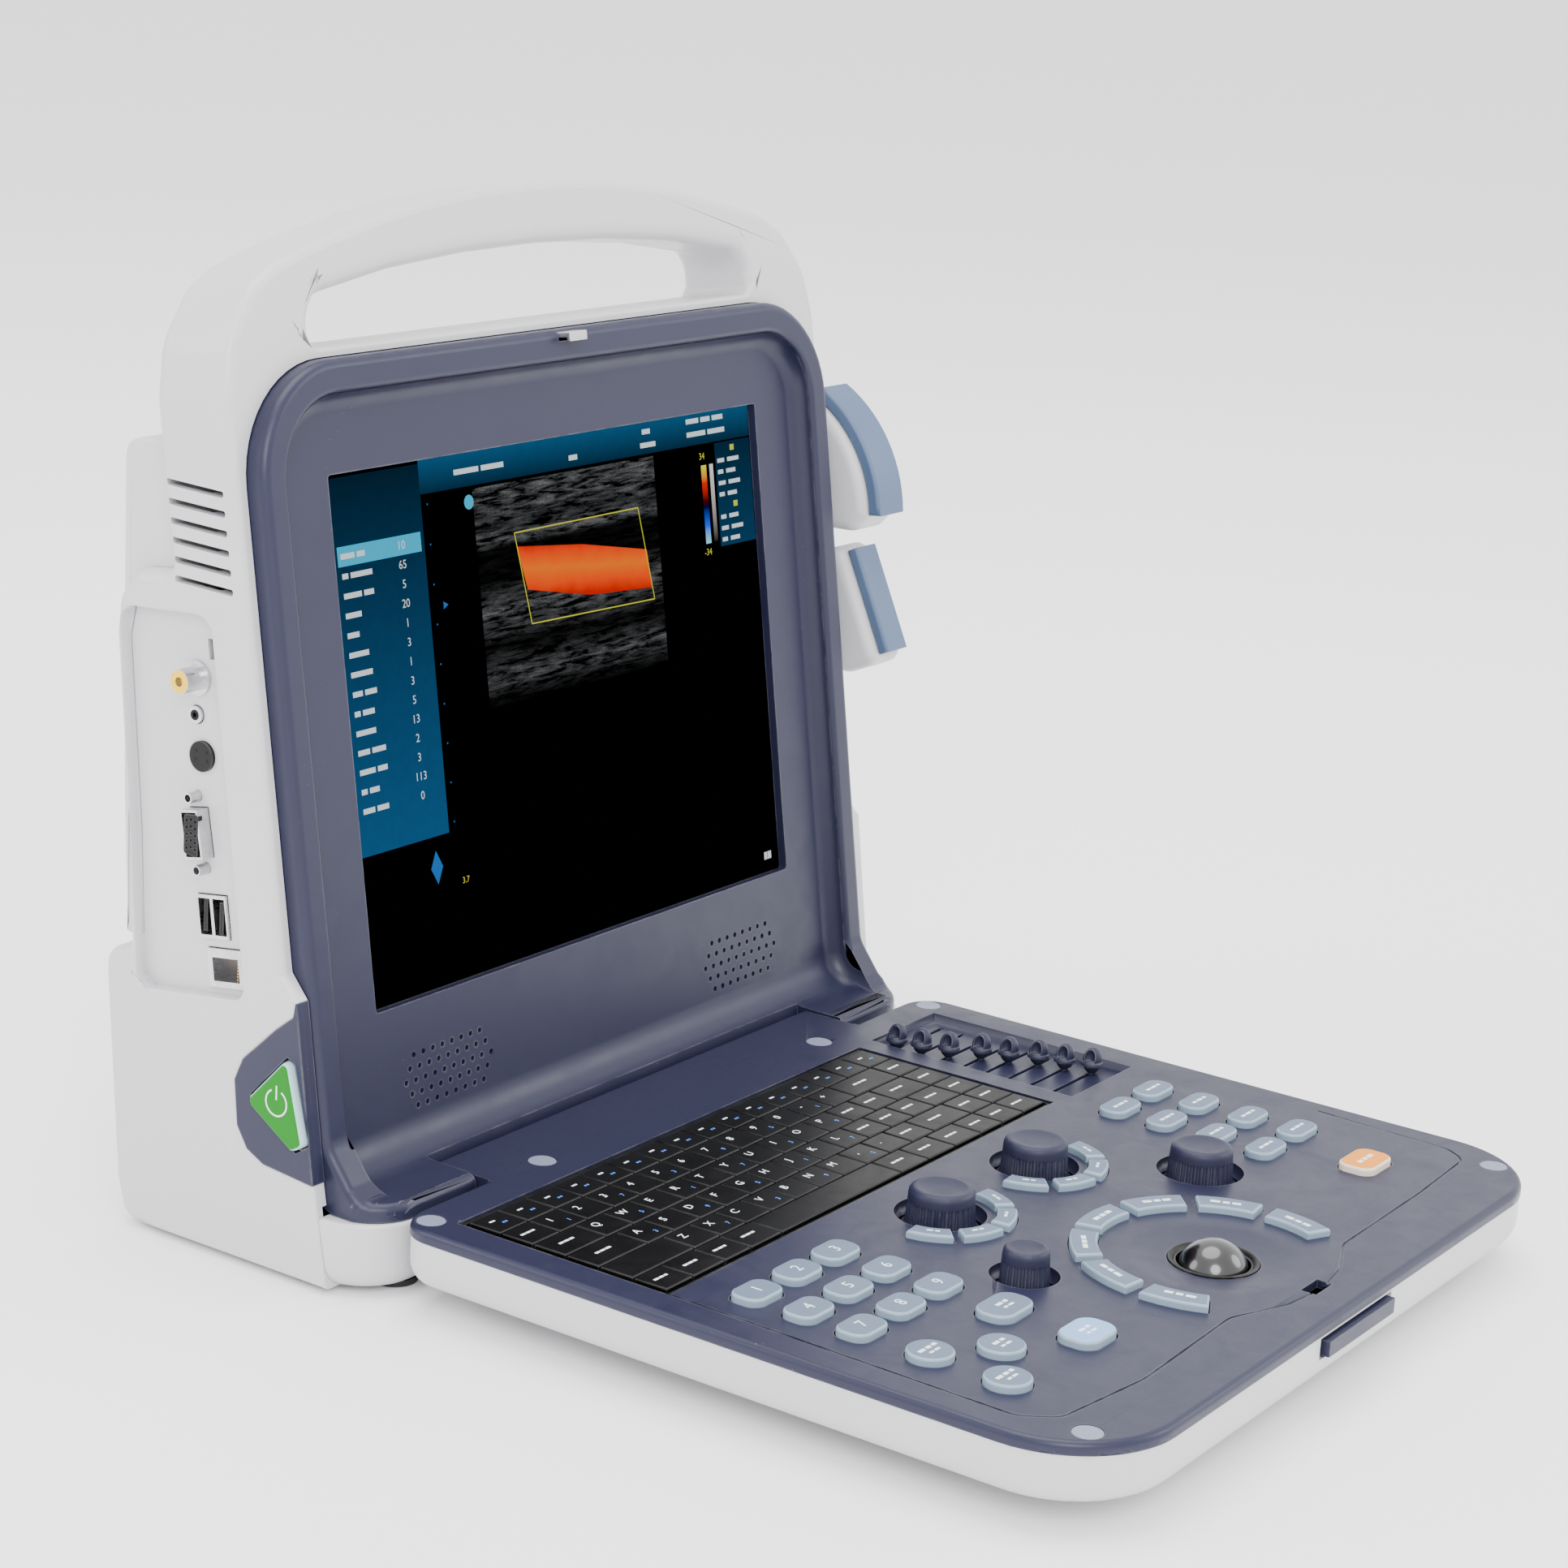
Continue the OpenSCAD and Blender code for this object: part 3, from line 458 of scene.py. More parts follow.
def lettering(text, size, raised=0.03):
    """Flat generic lettering or digits, centred on the origin, as a thin solid in millimetres."""
    curve = bpy.data.curves.new("lettering", "FONT")
    curve.body = text
    curve.size = size
    curve.align_x = "CENTER"
    curve.align_y = "CENTER"
    curve.resolution_u = 3
    curve.extrude = raised
    holder = bpy.data.objects.new("lettering", curve)
    bpy.context.scene.collection.objects.link(holder)
    bpy.context.view_layer.update()
    mesh = bpy.data.meshes.new_from_object(holder.evaluated_get(bpy.context.evaluated_depsgraph_get()))
    bm = bmesh.new()
    bm.from_mesh(mesh)
    bmesh.ops.remove_doubles(bm, verts=bm.verts, dist=1e-4)
    bpy.data.objects.remove(holder)
    bpy.data.curves.remove(curve)
    bpy.data.meshes.remove(mesh)
    return bm


def bars(widths, height, gap, raised=0.03):
    """A row of short bars that stands for a printed word, centred on the origin."""
    total = sum(widths) + gap * (len(widths) - 1)
    start = -total / 2
    parts = []
    for width in widths:
        parts.append(block((start, -height / 2, -raised), (start + width, height / 2, raised)))
        start += width + gap
    return together(parts)


# ---- Finishes ----

class Shader:
    """A small helper that adds nodes to a tree and links them."""

    def __init__(self, tree):
        self.tree = tree

    def add(self, kind, settings=None, **inputs):
        """Adds a node, sets its properties, and links or sets its inputs by name."""
        node = self.tree.nodes.new("ShaderNode" + kind)
        for key, value in (settings or {}).items():
            setattr(node, key, value)
        for key, value in inputs.items():
            self.feed(node.inputs[key.replace("_", " ")], value)
        return node

    def feed(self, socket, value):
        """Links an output to a socket, or sets the socket's value."""
        if isinstance(value, bpy.types.NodeSocket):
            self.tree.links.new(value, socket)
        else:
            socket.default_value = value

    def math(self, operation, first, second=0.0, third=0.0):
        """One arithmetic step; its output is returned."""
        node = self.add("Math", {"operation": operation})
        for socket, value in zip(node.inputs, (first, second, third)):
            self.feed(socket, value)
        return node.outputs[0]

    def mix(self, factor, first, second, blend="MIX"):
        """A mix of two colours; its output is returned."""
        node = self.add("Mix", {"data_type": "RGBA", "blend_type": blend})
        self.feed(node.inputs["Factor"], factor)
        self.feed(node.inputs["A"], first)
        self.feed(node.inputs["B"], second)
        return node.outputs["Result"]

    def span(self, value, low, high, to_low=0.0, to_high=1.0):
        """A value brought from one range to another, held inside it."""
        node = self.add("MapRange", {"clamp": True})
        for socket, item in zip(node.inputs, (value, low, high, to_low, to_high)):
            self.feed(socket, item)
        return node.outputs[0]


def new_group(name, inputs, outputs):
    """An empty shader node group with named sockets."""
    tree = bpy.data.node_groups.new(name, "ShaderNodeTree")
    for label, kind, value in inputs:
        socket = tree.interface.new_socket(name=label, in_out="INPUT", socket_type="NodeSocket" + kind)
        if value is not None:
            socket.default_value = value
    for label, kind in outputs:
        tree.interface.new_socket(name=label, in_out="OUTPUT", socket_type="NodeSocket" + kind)
    return tree, tree.nodes.new("NodeGroupInput").outputs, tree.nodes.new("NodeGroupOutput").inputs


def moulded_group():
    """Moulded plastic: slow colour drift, fine spark-eroded grain, paler rubbed edges and a little dust."""
    if "moulded finish" in bpy.data.node_groups:
        return bpy.data.node_groups["moulded finish"]
    tree, given, out = new_group("moulded finish", [
        ("Place", "Vector", None), ("Colour", "Color", (0.8, 0.8, 0.8, 1)),
        ("Edge Colour", "Color", (1, 1, 1, 1)),
        ("Drift", "Float", 0.04), ("Roughness", "Float", 0.4), ("Grain Scale", "Float", 2200.0),
        ("Edge Wear", "Float", 0.2)],
        [("Colour", "Color"), ("Roughness", "Float"), ("Height", "Float")])
    s = Shader(tree)
    slow = s.add("TexNoise", Vector=given["Place"], Scale=14.0, Detail=3.0, Roughness=0.55)
    fine = s.add("TexNoise", Vector=given["Place"], Scale=given["Grain Scale"], Detail=2.0, Roughness=0.6)
    smear = s.add("TexNoise", Vector=given["Place"], Scale=60.0, Detail=4.0, Roughness=0.7, Distortion=0.6)
    specks = s.add("TexVoronoi", Vector=given["Place"], Scale=260.0)
    speck = s.span(specks.outputs["Distance"], 0.05, 0.028)
    where = s.span(slow.outputs["Fac"], 0.52, 0.7)
    dust = s.math("MULTIPLY", s.math("MULTIPLY", speck, where), 0.35)
    shade = s.span(slow.outputs["Fac"], 0.3, 0.7, -1.0, 1.0)
    darker = s.mix(1.0, given["Colour"], (0.55, 0.55, 0.56, 1), "MULTIPLY")
    amount = s.math("MULTIPLY", s.math("ADD", shade, 1.0), given["Drift"])
    tinted = s.mix(amount, given["Colour"], darker)
    flat = s.add("NewGeometry").outputs["Normal"]
    rounded = s.add("Bevel", {"samples": 4}, Radius=0.0008)
    agree = s.add("VectorMath", {"operation": "DOT_PRODUCT"})
    s.feed(agree.inputs[0], rounded.outputs[0])
    s.feed(agree.inputs[1], flat)
    rubbed = s.span(agree.outputs["Value"], 0.995, 0.9)
    patchy = s.span(smear.outputs["Fac"], 0.35, 0.6)
    worn = s.math("MULTIPLY", s.math("MULTIPLY", rubbed, given["Edge Wear"]), patchy)
    edged = s.mix(worn, tinted, given["Edge Colour"])
    s.feed(out["Colour"], s.mix(dust, edged, (0.78, 0.77, 0.75, 1)))
    rough = s.math("ADD", given["Roughness"], s.span(smear.outputs["Fac"], 0.3, 0.7, -0.06, 0.07))
    s.feed(out["Roughness"], s.math("ADD", rough, s.math("MULTIPLY", dust, 0.5)))
    s.feed(out["Height"], s.math("ADD", fine.outputs["Fac"], s.math("MULTIPLY", slow.outputs["Fac"], 0.4)))
    return tree


def brushed_group():
    """Worn metal: fine scratches along one way, and dull patches."""
    if "brushed finish" in bpy.data.node_groups:
        return bpy.data.node_groups["brushed finish"]
    tree, given, out = new_group("brushed finish", [
        ("Place", "Vector", None), ("Colour", "Color", (0.7, 0.7, 0.7, 1)), ("Roughness", "Float", 0.3)],
        [("Colour", "Color"), ("Roughness", "Float"), ("Height", "Float")])
    s = Shader(tree)
    long_way = s.add("Mapping", Vector=given["Place"])
    long_way.inputs["Scale"].default_value = (60, 2600, 2600)
    scratches = s.add("TexNoise", Vector=long_way.outputs[0], Scale=1.0, Detail=3.0)
    patches = s.add("TexNoise", Vector=given["Place"], Scale=180.0, Detail=4.0)
    dull = s.span(patches.outputs["Fac"], 0.42, 0.66)
    s.feed(out["Colour"], s.mix(s.math("MULTIPLY", dull, 0.35), given["Colour"], (0.32, 0.31, 0.3, 1)))
    rough = s.math("ADD", given["Roughness"], s.span(scratches.outputs["Fac"], 0.3, 0.7, -0.05, 0.08))
    s.feed(out["Roughness"], s.math("ADD", rough, s.math("MULTIPLY", dull, 0.15)))
    s.feed(out["Height"], scratches.outputs["Fac"])
    return tree


def fresh_material(name):
    """A material with its helper, its shader and its object coordinates."""
    material = bpy.data.materials.new(name)
    material.use_nodes = True
    s = Shader(material.node_tree)
    place = s.add("TexCoord").outputs["Object"]
    return material, s, material.node_tree.nodes["Principled BSDF"], place


def use_group(s, tree, shader, place, bump, distance, values):
    """Places a finish group in a material and feeds the shader from it."""
    node = s.add("Group")
    node.node_tree = tree
    s.feed(node.inputs["Place"], place)
    for label, value in values.items():
        s.feed(node.inputs[label], value)
    height = s.add("Bump", Strength=bump, Distance=distance, Height=node.outputs["Height"])
    s.feed(shader.inputs["Base Color"], node.outputs["Colour"])
    s.feed(shader.inputs["Roughness"], node.outputs["Roughness"])
    s.feed(shader.inputs["Normal"], height.outputs[0])


def lighter(tint, share):
    """A colour moved towards white by a share."""
    return [c + (1 - c) * share for c in tint[:3]] + [1.0]


def moulded(name, tint, roughness=0.4, drift=0.05, wear=0.2, grain=2200.0, bump=0.12, coat=0.0, specular=0.5):
    """A moulded plastic or painted finish."""
    if name in bpy.data.materials:
        return bpy.data.materials[name]
    material, s, shader, place = fresh_material(name)
    use_group(s, moulded_group(), shader, place, bump, 0.0002, {
        "Colour": list(tint), "Edge Colour": lighter(tint, 0.35), "Drift": drift, "Roughness": roughness,
        "Grain Scale": grain, "Edge Wear": wear})
    shader.inputs["Coat Weight"].default_value = coat
    shader.inputs["Coat Roughness"].default_value = 0.25
    shader.inputs["Specular IOR Level"].default_value = specular
    return material


def metal(name, tint, roughness=0.28):
    """A plated or sheet metal finish."""
    if name in bpy.data.materials:
        return bpy.data.materials[name]
    material, s, shader, place = fresh_material(name)
    use_group(s, brushed_group(), shader, place, 0.2, 0.00005, {"Colour": list(tint), "Roughness": roughness})
    shader.inputs["Metallic"].default_value = 1.0
    return material


def finish_named(key):
    """The finish that a kind of surface has."""
    tints = bpy.context.scene.scanner_colours
    makers = {
        "shell": lambda: moulded("white satin shell", tints.shell, 0.34, 0.02, 0.1, 2600.0, 0.05),
        "tray": lambda: moulded("white tray", tints.shell, 0.38, 0.03, 0.15, 2400.0, 0.07),
        "slate": lambda: moulded("slate satin paint", tints.slate, 0.36, 0.05, 0.28, 1900.0, 0.1,
                                 specular=0.35),
        "slate knob": lambda: moulded("slate soft-touch knob", tints.slate, 0.47, 0.05, 0.3, 1500.0, 0.14,
                                      specular=0.35),
        "cap": lambda: moulded("screw cap", srgb(120, 126, 146), 0.42, 0.04, 0.2),
        "key top": lambda: moulded("key top print", tints.key_top, 0.5, 0.03, 0.05, 1400.0, 0.1),
        "key side": lambda: moulded("key side silicone", tints.key_side, 0.45, 0.03, 0.1, 1400.0, 0.1),
        "probe key": lambda: moulded("probe key print", tints.probe_key, 0.5, 0.03, 0.05, 1400.0, 0.1),
        "freeze side": lambda: moulded("freeze key side", srgb(226, 214, 198), 0.45, 0.03, 0.1, 1400.0, 0.1),
        "button side": lambda: moulded("button side", srgb(164, 196, 205), 0.4, 0.03, 0.1, 1400.0, 0.1),
        "glass": lambda: moulded("display glass", srgb(6, 6, 8), 0.18, 0.02, 0.0, 900.0, 0.02),
        "freeze": lambda: moulded("freeze key print", tints.freeze, 0.48, 0.03, 0.05, 1400.0, 0.1),
        "button": lambda: moulded("green button face", tints.button, 0.38, 0.03, 0.05, 1800.0, 0.06,
                                  specular=0.2),
        "keyboard": lambda: moulded("keyboard keys", tints.keyboard, 0.36, 0.06, 0.1, 1500.0, 0.12,
                                    specular=0.2),
        "black": lambda: moulded("black moulding", srgb(10, 10, 11), 0.42, 0.06, 0.2, specular=0.25),
        # Near-black finish for the speaker cloth, jack and S-video details; on the knob wells' floors it is
        # painted shade.
        "dark_fill_and_shade": lambda: moulded("dark well", srgb(12, 12, 18), 0.6, 0.06, 0.05, specular=0.2),
        "gloss": lambda: moulded("polished ball", srgb(8, 8, 10), 0.06, 0.02, 0.0, 900.0, 0.01, coat=1.0),
        "legend": lambda: moulded("white legend ink", tints.legend, 0.5, 0.03, 0.0, 900.0, 0.05),
        "second legend": lambda: moulded("blue legend ink", tints.second_legend, 0.5, 0.03, 0.0, 900.0, 0.05),
        "lens": lambda: moulded("acoustic lens", tints.lens, 0.42, 0.04, 0.1, 1200.0, 0.06),
        "yellow": lambda: moulded("yellow insert", srgb(240, 190, 30), 0.35, 0.05, 0.1),
        "rubber": lambda: moulded("rubber foot", srgb(34, 34, 36), 0.7, 0.1, 0.1, 700.0, 0.3),
        "board": lambda: moulded("solder mask", srgb(22, 92, 52), 0.35, 0.12, 0.2, 500.0, 0.2),
        "steel": lambda: metal("plated steel", srgb(205, 205, 208), 0.24),
        "dull steel": lambda: metal("sheet steel", srgb(168, 168, 172), 0.38),
        "gold": lambda: metal("gold contact", srgb(226, 180, 90), 0.3),
    }
    return makers[key]()


# ---- Console shells ----

CASE_X = 168
FACE_W = -2.4
SLAB_BACK_W = 30.6
RIM_X = 162
RIM_TOP = 131
RIM_FRONT_W = -10.3
SURROUND_W = -2.0
CORNER_R = 39
SHOULDER_V = 134.5
HANDLE_TOP = 183.5
HANDLE_END = (139, 163.3)
GRIP_X = 125
WALL = 3.5
SCREW_HOLE_R = 3.3


def mirrored(points):
    """Outline points followed by their mirror images in the opposite order."""
    return list(points) + [(-p[0],) + tuple(p[1:]) for p in reversed(points)]


def handle_outline():
    """The console's front outline, with the arched carrying handle on top."""
    half, drop = HANDLE_END[0], HANDLE_TOP - HANDLE_END[1]
    radius = (half ** 2 + drop ** 2) / (2 * drop)
    spread = math.degrees(math.asin(half / radius))
    crown = arc((0, HANDLE_TOP - radius), radius, 90 - spread, 90 + spread, 24)
    shoulder = [(CASE_X, 60), (CASE_X, 122, 30), (163.5, 141, 24), (150, 157.5, 22), (138, 163.4)]
    right = fillet(shoulder, 5)[:-1]
    left = [Vector((-p.x, p.y)) for p in reversed(right)]
    return [Vector((CASE_X, -190))] + right + crown + left + [Vector((-CASE_X, -190))]


def grip_outline():
    """The opening under the handle."""
    half = [(0, 161.6), (40, 160.7), (80, 157.8), (GRIP_X, 151, 11), (GRIP_X, SHOULDER_V, 3.5)]
    return fillet(mirrored(half), 8)


def side_profile():
    """The white shell seen from the side, as (y, z)."""
    front = [(-41.2, 2), (-34.7, 38), (-25.7, 100), (back_at(108, FACE_W), 108)]
    top = [on_tilt(FACE_W, 200), on_tilt(SLAB_BACK_W, 200), (back_at(236, SLAB_BACK_W), 236, 3)]
    bulge = [(50, 234, 6), (58.6, 224, 9), (60, 211), (54, 144), (52, 102, 3)]
    base = [(63.5, 99, 6.4), (63.7, 90), (58, 17), (54, 2, 7)]
    return fillet(front + top + bulge + base, 5)


SOCKET_RECESS = [(53, 221, 5), (19, 223.3, 7), (15.5, 219, 3), (-1.6, 98, 5), (1, 94.8, 3), (43.5, 89.3, 7),
                 (47.5, 92, 5), (57, 217, 5)]
PLATE_OUTLINE = [(-25.7, 100), (-24.8, 94.8, 2), (-17, 88.6, 8), (-2.6, 75, 7), (0.9, 67, 7), (-0.6, 51, 8),
                 (-5.2, 43.7, 7), (-12.7, 40, 6), (-34.7, 38)]
BUTTON_OUTLINE = [(-22.9, 79.7, 2), (-25.4, 78.4, 2), (-32.3, 51.8, 2.4), (-27, 48.6, 2.6), (-8.4, 60.5, 2.4),
                  (-7.6, 63.5, 2.2)]


def build_shell():
    """The white main shell: base, bulge and handle in one moulding, hollow, with its openings."""
    r = sizes()
    shell = as_object("shell_moulding", prism(side_profile(), -CASE_X, CASE_X, "x"))
    combine(shell, moved(prism(handle_outline(), -80, 120, "y"), TILTED), "INTERSECT")
    combine(shell, moved(prism(grip_outline(), -60, 90, "y"), TILTED), "DIFFERENCE")
    to_screen = TILTED.inverted()

    def radius_of(middle, edge):
        place = to_screen @ middle
        if place.z > SHOULDER_V + 1.5 and abs(place.x) < GRIP_X + 1.5 and place.z < 162.5:
            return r["handle_round"] if place.z > 148 else 4.2
        if abs(place.z - SHOULDER_V) < 1.6 and abs(place.x) < GRIP_X + 1:
            return 1.6
        if place.z > 60 or middle.z > 232:
            return r["shell_round"] if place.y < 10 else 5.2
        if middle.y > 25 and abs(middle.x) > 160:
            return r["bulge_round"]
        if abs(middle.x) > 160 and middle.y < 0:
            return 1.2 if middle.z < 100 else r["shell_round"]
        return 2.0 if abs(middle.x) > 160 else 0.5

    soften(shell, 7, radius_of, 28, 5)
    pocket = fillet(mirrored([(RIM_X + 0.35, -175), (RIM_X + 0.35, RIM_TOP + 0.35, CORNER_R)]), 12)
    cut(shell, moved(prism(pocket, -40, 12, "y"), TILTED))
    inside = [(-45, 5.5), on_tilt(11, -158), on_tilt(11, 130), on_tilt(27.6, 130.5), on_tilt(27.6, 58),
              (48, 230), (54, 221), (56.3, 210), (50.5, 144), (48.5, 98), (59.5, 94), (60, 91), (54.7, 20),
              (50, 5.5)]
    cut(shell, prism(inside, WALL - CASE_X, CASE_X - WALL, "x"))
    cut(shell, prism([(-70, 5.5), (-14, 5.5), (-14, 30), (-70, 30)], WALL - CASE_X, CASE_X - WALL, "x"))
    cut(shell, prism([(27, 104), (90, 104), (90, 272), (36, 272)], -161.3, 161.3, "x"))
    recess = [Vector(p) for p in fillet(SOCKET_RECESS, 4)]
    cut(shell, mouth(recess, -163.2, -CASE_X, 1.5))
    cut(shell, mouth(fillet(PLATE_OUTLINE, 4), -165.4, -CASE_X, 1.1))
    cut(shell, prism(grown(fillet(BUTTON_OUTLINE, 3), 0.6), -172, -160, "x"))
    slots = []
    for i in range(6):
        slot = round_rect((5.5 + i, -1.1), (31.5 + i, 1.1), 0.8, 3)
        slots.append(moved(prism(slot, -172, -160, "x"), at(0, 0, 233 + 6.3 * i, 2, "X")))
    cut(shell, *slots)
    right = []
    for group in [islands("mains_inlet")] + [[i] for i in islands("probe_sockets")]:
        low, high = corners_of(group[0])
        right.append(block((160, low.y + 2, low.z + 2), (172, high.y - 2, high.z - 2)))
    cut(shell, *right)
    finish(shell, "console", [finish_named("shell")], ["main_shell"])


def build_back_cover():
    """The removable back cover, rounded all over and hollow."""
    r = sizes()
    front = [(36, 104.3), (back_at(230, 30.9), 230), (back_at(277, 30.9), 277)]
    outline = [Vector(p) for p in front] + arc((52, 259), 18, 90, 0, 10) + \
        [Vector((65.6, 176)), Vector((60, 108)), Vector((59.6, 104.3))]
    cover = as_object("back_cover_moulding", prism(outline, -161, 161, "x"))
    combine(cover, prism(round_rect((-161, -128.5), (161, 70.5), 16, 10), 90, 300), "INTERSECT")
    soften(cover, 1.5, lambda m, e: 1.5 if m.y > 42 and m.z > 110 else r["fine_round"], 30, 4)
    hollow = [Vector((20, 90)), Vector((back_at(230, 20), 230)), Vector((back_at(274, 20), 274))] + \
        arc((52, 259), 14, 90, 0, 8) + [Vector((61.6, 176)), Vector((56, 108)), Vector((55.6, 90))]
    cut(cover, prism(hollow, -154, 154, "x"))
    screws = []
    for x in (-120, 120):
        for z in (125, 245):
            hole = rod(SCREW_HOLE_R, -30, 3, 24)
            screws.append(moved(hole, at(x, 55, z, 90, "X")))
    cut(cover, *screws)
    louvres = []
    for i in range(9):
        z = 160 + 7 * i
        louvres.append(prism(round_rect((-95, z), (-25, z + 2.6), 1.2, 3), 50, 90, "y"))
    cut(cover, *louvres)
    finish(cover, "console", [finish_named("shell")], ["rear_cover"])


def build_base_front():
    """The white front of the base, with its deep lower rounding."""
    plan = fillet(mirrored([(167, 40), (167, -61, 24)]), 10)
    base = as_object("base_front_moulding", prism(plan, 2, 26.7))

    def radius_of(middle, edge):
        if middle.y > 35:
            return 0
        return 9 if middle.z < 4 else 1.4

    soften(base, 9, radius_of, 30, 6)
    profile = [(-70, 0), (-70, 30), (-36.3, 30), (-41.8, 0)]
    combine(base, prism(profile, -180, 180, "x"), "INTERSECT")
    cut(base, block((-112.8, -70, 21.8), (112.8, -10, 42)))
    finish(base, "console", [finish_named("shell")], ["base_front"])


# ---- Screen and bezel ----

LCD_X, LCD_V = 123, 92.25
LEDGE_Z, LEDGE_UNDER_Z, LEDGE_Y = 33, 27, -60
TONGUE_X = 112.8
SPEAKER_AT = (88, -120)
GRILLE_ROWS = (8, 9, 10, 9, 8)
GRILLE_PITCH = (5.1, 4.5)
GRILLE_HOLE_R = 1.05
CLOTH_SHARE = 0.46
RIM_WIDTH = 11.5


def bezel_block():
    """The bezel before its recess is cut: rim, flared feet and ledge."""
    side = [on_tilt(1.5, -144), on_tilt(1.5, 140), on_tilt(RIM_FRONT_W, 140),
            on_tilt(RIM_FRONT_W, -129) + (12,), (-45, 37.5, 7), (-50.5, LEDGE_Z + 0.3, 6),
            (LEDGE_Y, LEDGE_Z, 3.7), (LEDGE_Y, LEDGE_UNDER_Z),
            (-38, LEDGE_UNDER_Z)]
    return prism(fillet(side, 7), -RIM_X, RIM_X, "x")


def recess_cutter(soft):
    """What is cut from the bezel to make its recess, with soft inner edges and the sweep to the ledge."""
    floor_foot = on_tilt(SURROUND_W, (LEDGE_Z - SCREEN_AT.z) / math.cos(LEAN))
    side = [on_tilt(SURROUND_W, 160), floor_foot + (14,), (LEDGE_Y - 20, LEDGE_Z), (LEDGE_Y - 20, 340)]
    bm = prism(fillet(side, 9), -(RIM_X - RIM_WIDTH), RIM_X - RIM_WIDTH, "x")
    obj = as_object("tool", bm)
    half = RIM_X - RIM_WIDTH
    front = fillet(mirrored([(half, -200), (half, RIM_TOP - RIM_WIDTH, CORNER_R - RIM_WIDTH)]), 10)
    combine(obj, moved(prism(front, -90, 20, "y"), TILTED), "INTERSECT")
    to_screen = TILTED.inverted()

    def radius_of(middle, edge):
        place = to_screen @ middle
        on_wall = middle.z > LEDGE_Z + 20 and place.y > -4
        return soft if on_wall or (middle.y > LEDGE_Y + 4 and middle.z < LEDGE_Z + 22) else 0

    soften(obj, soft, radius_of, 30, 6)
    bm = bmesh.new()
    bm.from_mesh(obj.data)
    bpy.data.objects.remove(obj)
    return in_millimetres(bm)


def build_bezel():
    """The slate bezel: raised rim, soft recess, swept ledge, screen opening and speaker grilles."""
    r = sizes()
    bezel = as_object("bezel_moulding", bezel_block())
    front = fillet(mirrored([(RIM_X, -200), (RIM_X, RIM_TOP, CORNER_R)]), 12)
    combine(bezel, moved(prism(front, -90, 20, "y"), TILTED), "INTERSECT")
    plan = fillet(mirrored([(RIM_X + 1, 100), (RIM_X + 1, LEDGE_Y, 19)]), 10)
    combine(bezel, prism(plan, 0, 400), "INTERSECT")
    to_screen = TILTED.inverted()

    def outer_radius(middle, edge):
        place = to_screen @ middle
        on_rim = place.y < RIM_FRONT_W + 1 and middle.z > 38
        return r["rim_round"] if on_rim or (middle.z > 30 and middle.y < -26) else 0

    soften(bezel, r["rim_round"], outer_radius, 30, 5)
    combine(bezel, recess_cutter(r["recess_round"]), "DIFFERENCE")

    def inner_radius(middle, edge):
        place = to_screen @ middle
        inside = abs(middle.x) < RIM_X - 9.5 and place.z < RIM_TOP - 9.5
        if inside and place.y < -8.2 and middle.z > 44:
            return 2.3
        return 0

    soften(bezel, 2.3, inner_radius, 24, 4)
    opening = round_rect((-LCD_X, -LCD_V), (LCD_X, LCD_V), 1.2, 3)
    cut(bezel, moved(prism(opening, -20, 20, "y"), TILTED))
    notch_foot, notch_front = back_at(20, RIM_FRONT_W + 0.6), back_at(36, RIM_FRONT_W + 0.6)
    notch = [(-70, 20), (notch_foot, 20), (notch_front, 36), (notch_front + 2.5, 52), (-70, 52)]
    cut(bezel, prism(notch, -TONGUE_X, TONGUE_X, "x"))
    holes = []
    for side in (-1, 1):
        for row, count in enumerate(GRILLE_ROWS):
            for i in range(count):
                x = side * SPEAKER_AT[0] + (i - (count - 1) / 2) * GRILLE_PITCH[0]
                v = SPEAKER_AT[1] + (row - 2) * GRILLE_PITCH[1]
                hole = rod(GRILLE_HOLE_R, -20, 20, 12)
                holes.append(moved(hole, TILTED @ at(x, 0, v, 90, "X")))
    cut(bezel, *holes)
    slot = block((-5.2, RIM_FRONT_W - 1, RIM_TOP - 4.2), (5.2, RIM_FRONT_W + 7, RIM_TOP - 1.8))
    cut(bezel, moved(slot, TILTED))
    finish(bezel, "console", [finish_named("slate")], ["screen_bezel"], 35)
    backing = block((-62, 3.2, -13), (62, 3.6, 13))
    parts = []
    for side in (-1, 1):
        place = TILTED @ Matrix.Translation((side * SPEAKER_AT[0], 0, SPEAKER_AT[1]))
        parts.append(moved(backing.copy(), place @ Matrix.Scale(CLOTH_SHARE, 4, (1, 0, 0))))
    backing.free()
    cloth = as_object("speaker_cloth", together(parts))
    finish(cloth, "console", [finish_named("dark_fill_and_shade")])


# ---- Control panel ----

PANEL_Z = 32.3
KEY_TOP_Z = 34.9
PANEL_X, PANEL_FRONT, PANEL_BACK, PANEL_BACK_R = 162, -338.5, -65, 14
BALL_AT = Vector((0, -285, 25.6))
BALL_R = 12.5
SLIDERS = 8
PRINT_LIFT = 0.02


def ribbon(points, half):
    """The outline of a narrow line through some points, with its inner corners rounded."""
    path = fillet(points, 6)
    sides = []
    for i in range(len(path)):
        way = (path[min(i + 1, len(path) - 1)] - path[max(i - 1, 0)]).normalized()
        sides.append(Vector((-way.y, way.x)) * half)
    return [p + s for p, s in zip(path, sides)] + [p - s for p, s in reversed(list(zip(path, sides)))]


def panel_plan(inset=0.0):
    """The panel's outline seen from above."""
    return fillet([(inset - PANEL_X, PANEL_FRONT + inset, CORNER_R - inset),
                   (PANEL_X - inset, PANEL_FRONT + inset, CORNER_R - inset),
                   (PANEL_X - inset, PANEL_BACK - inset, PANEL_BACK_R - inset),
                   (inset - PANEL_X, PANEL_BACK - inset, PANEL_BACK_R - inset)], 14)


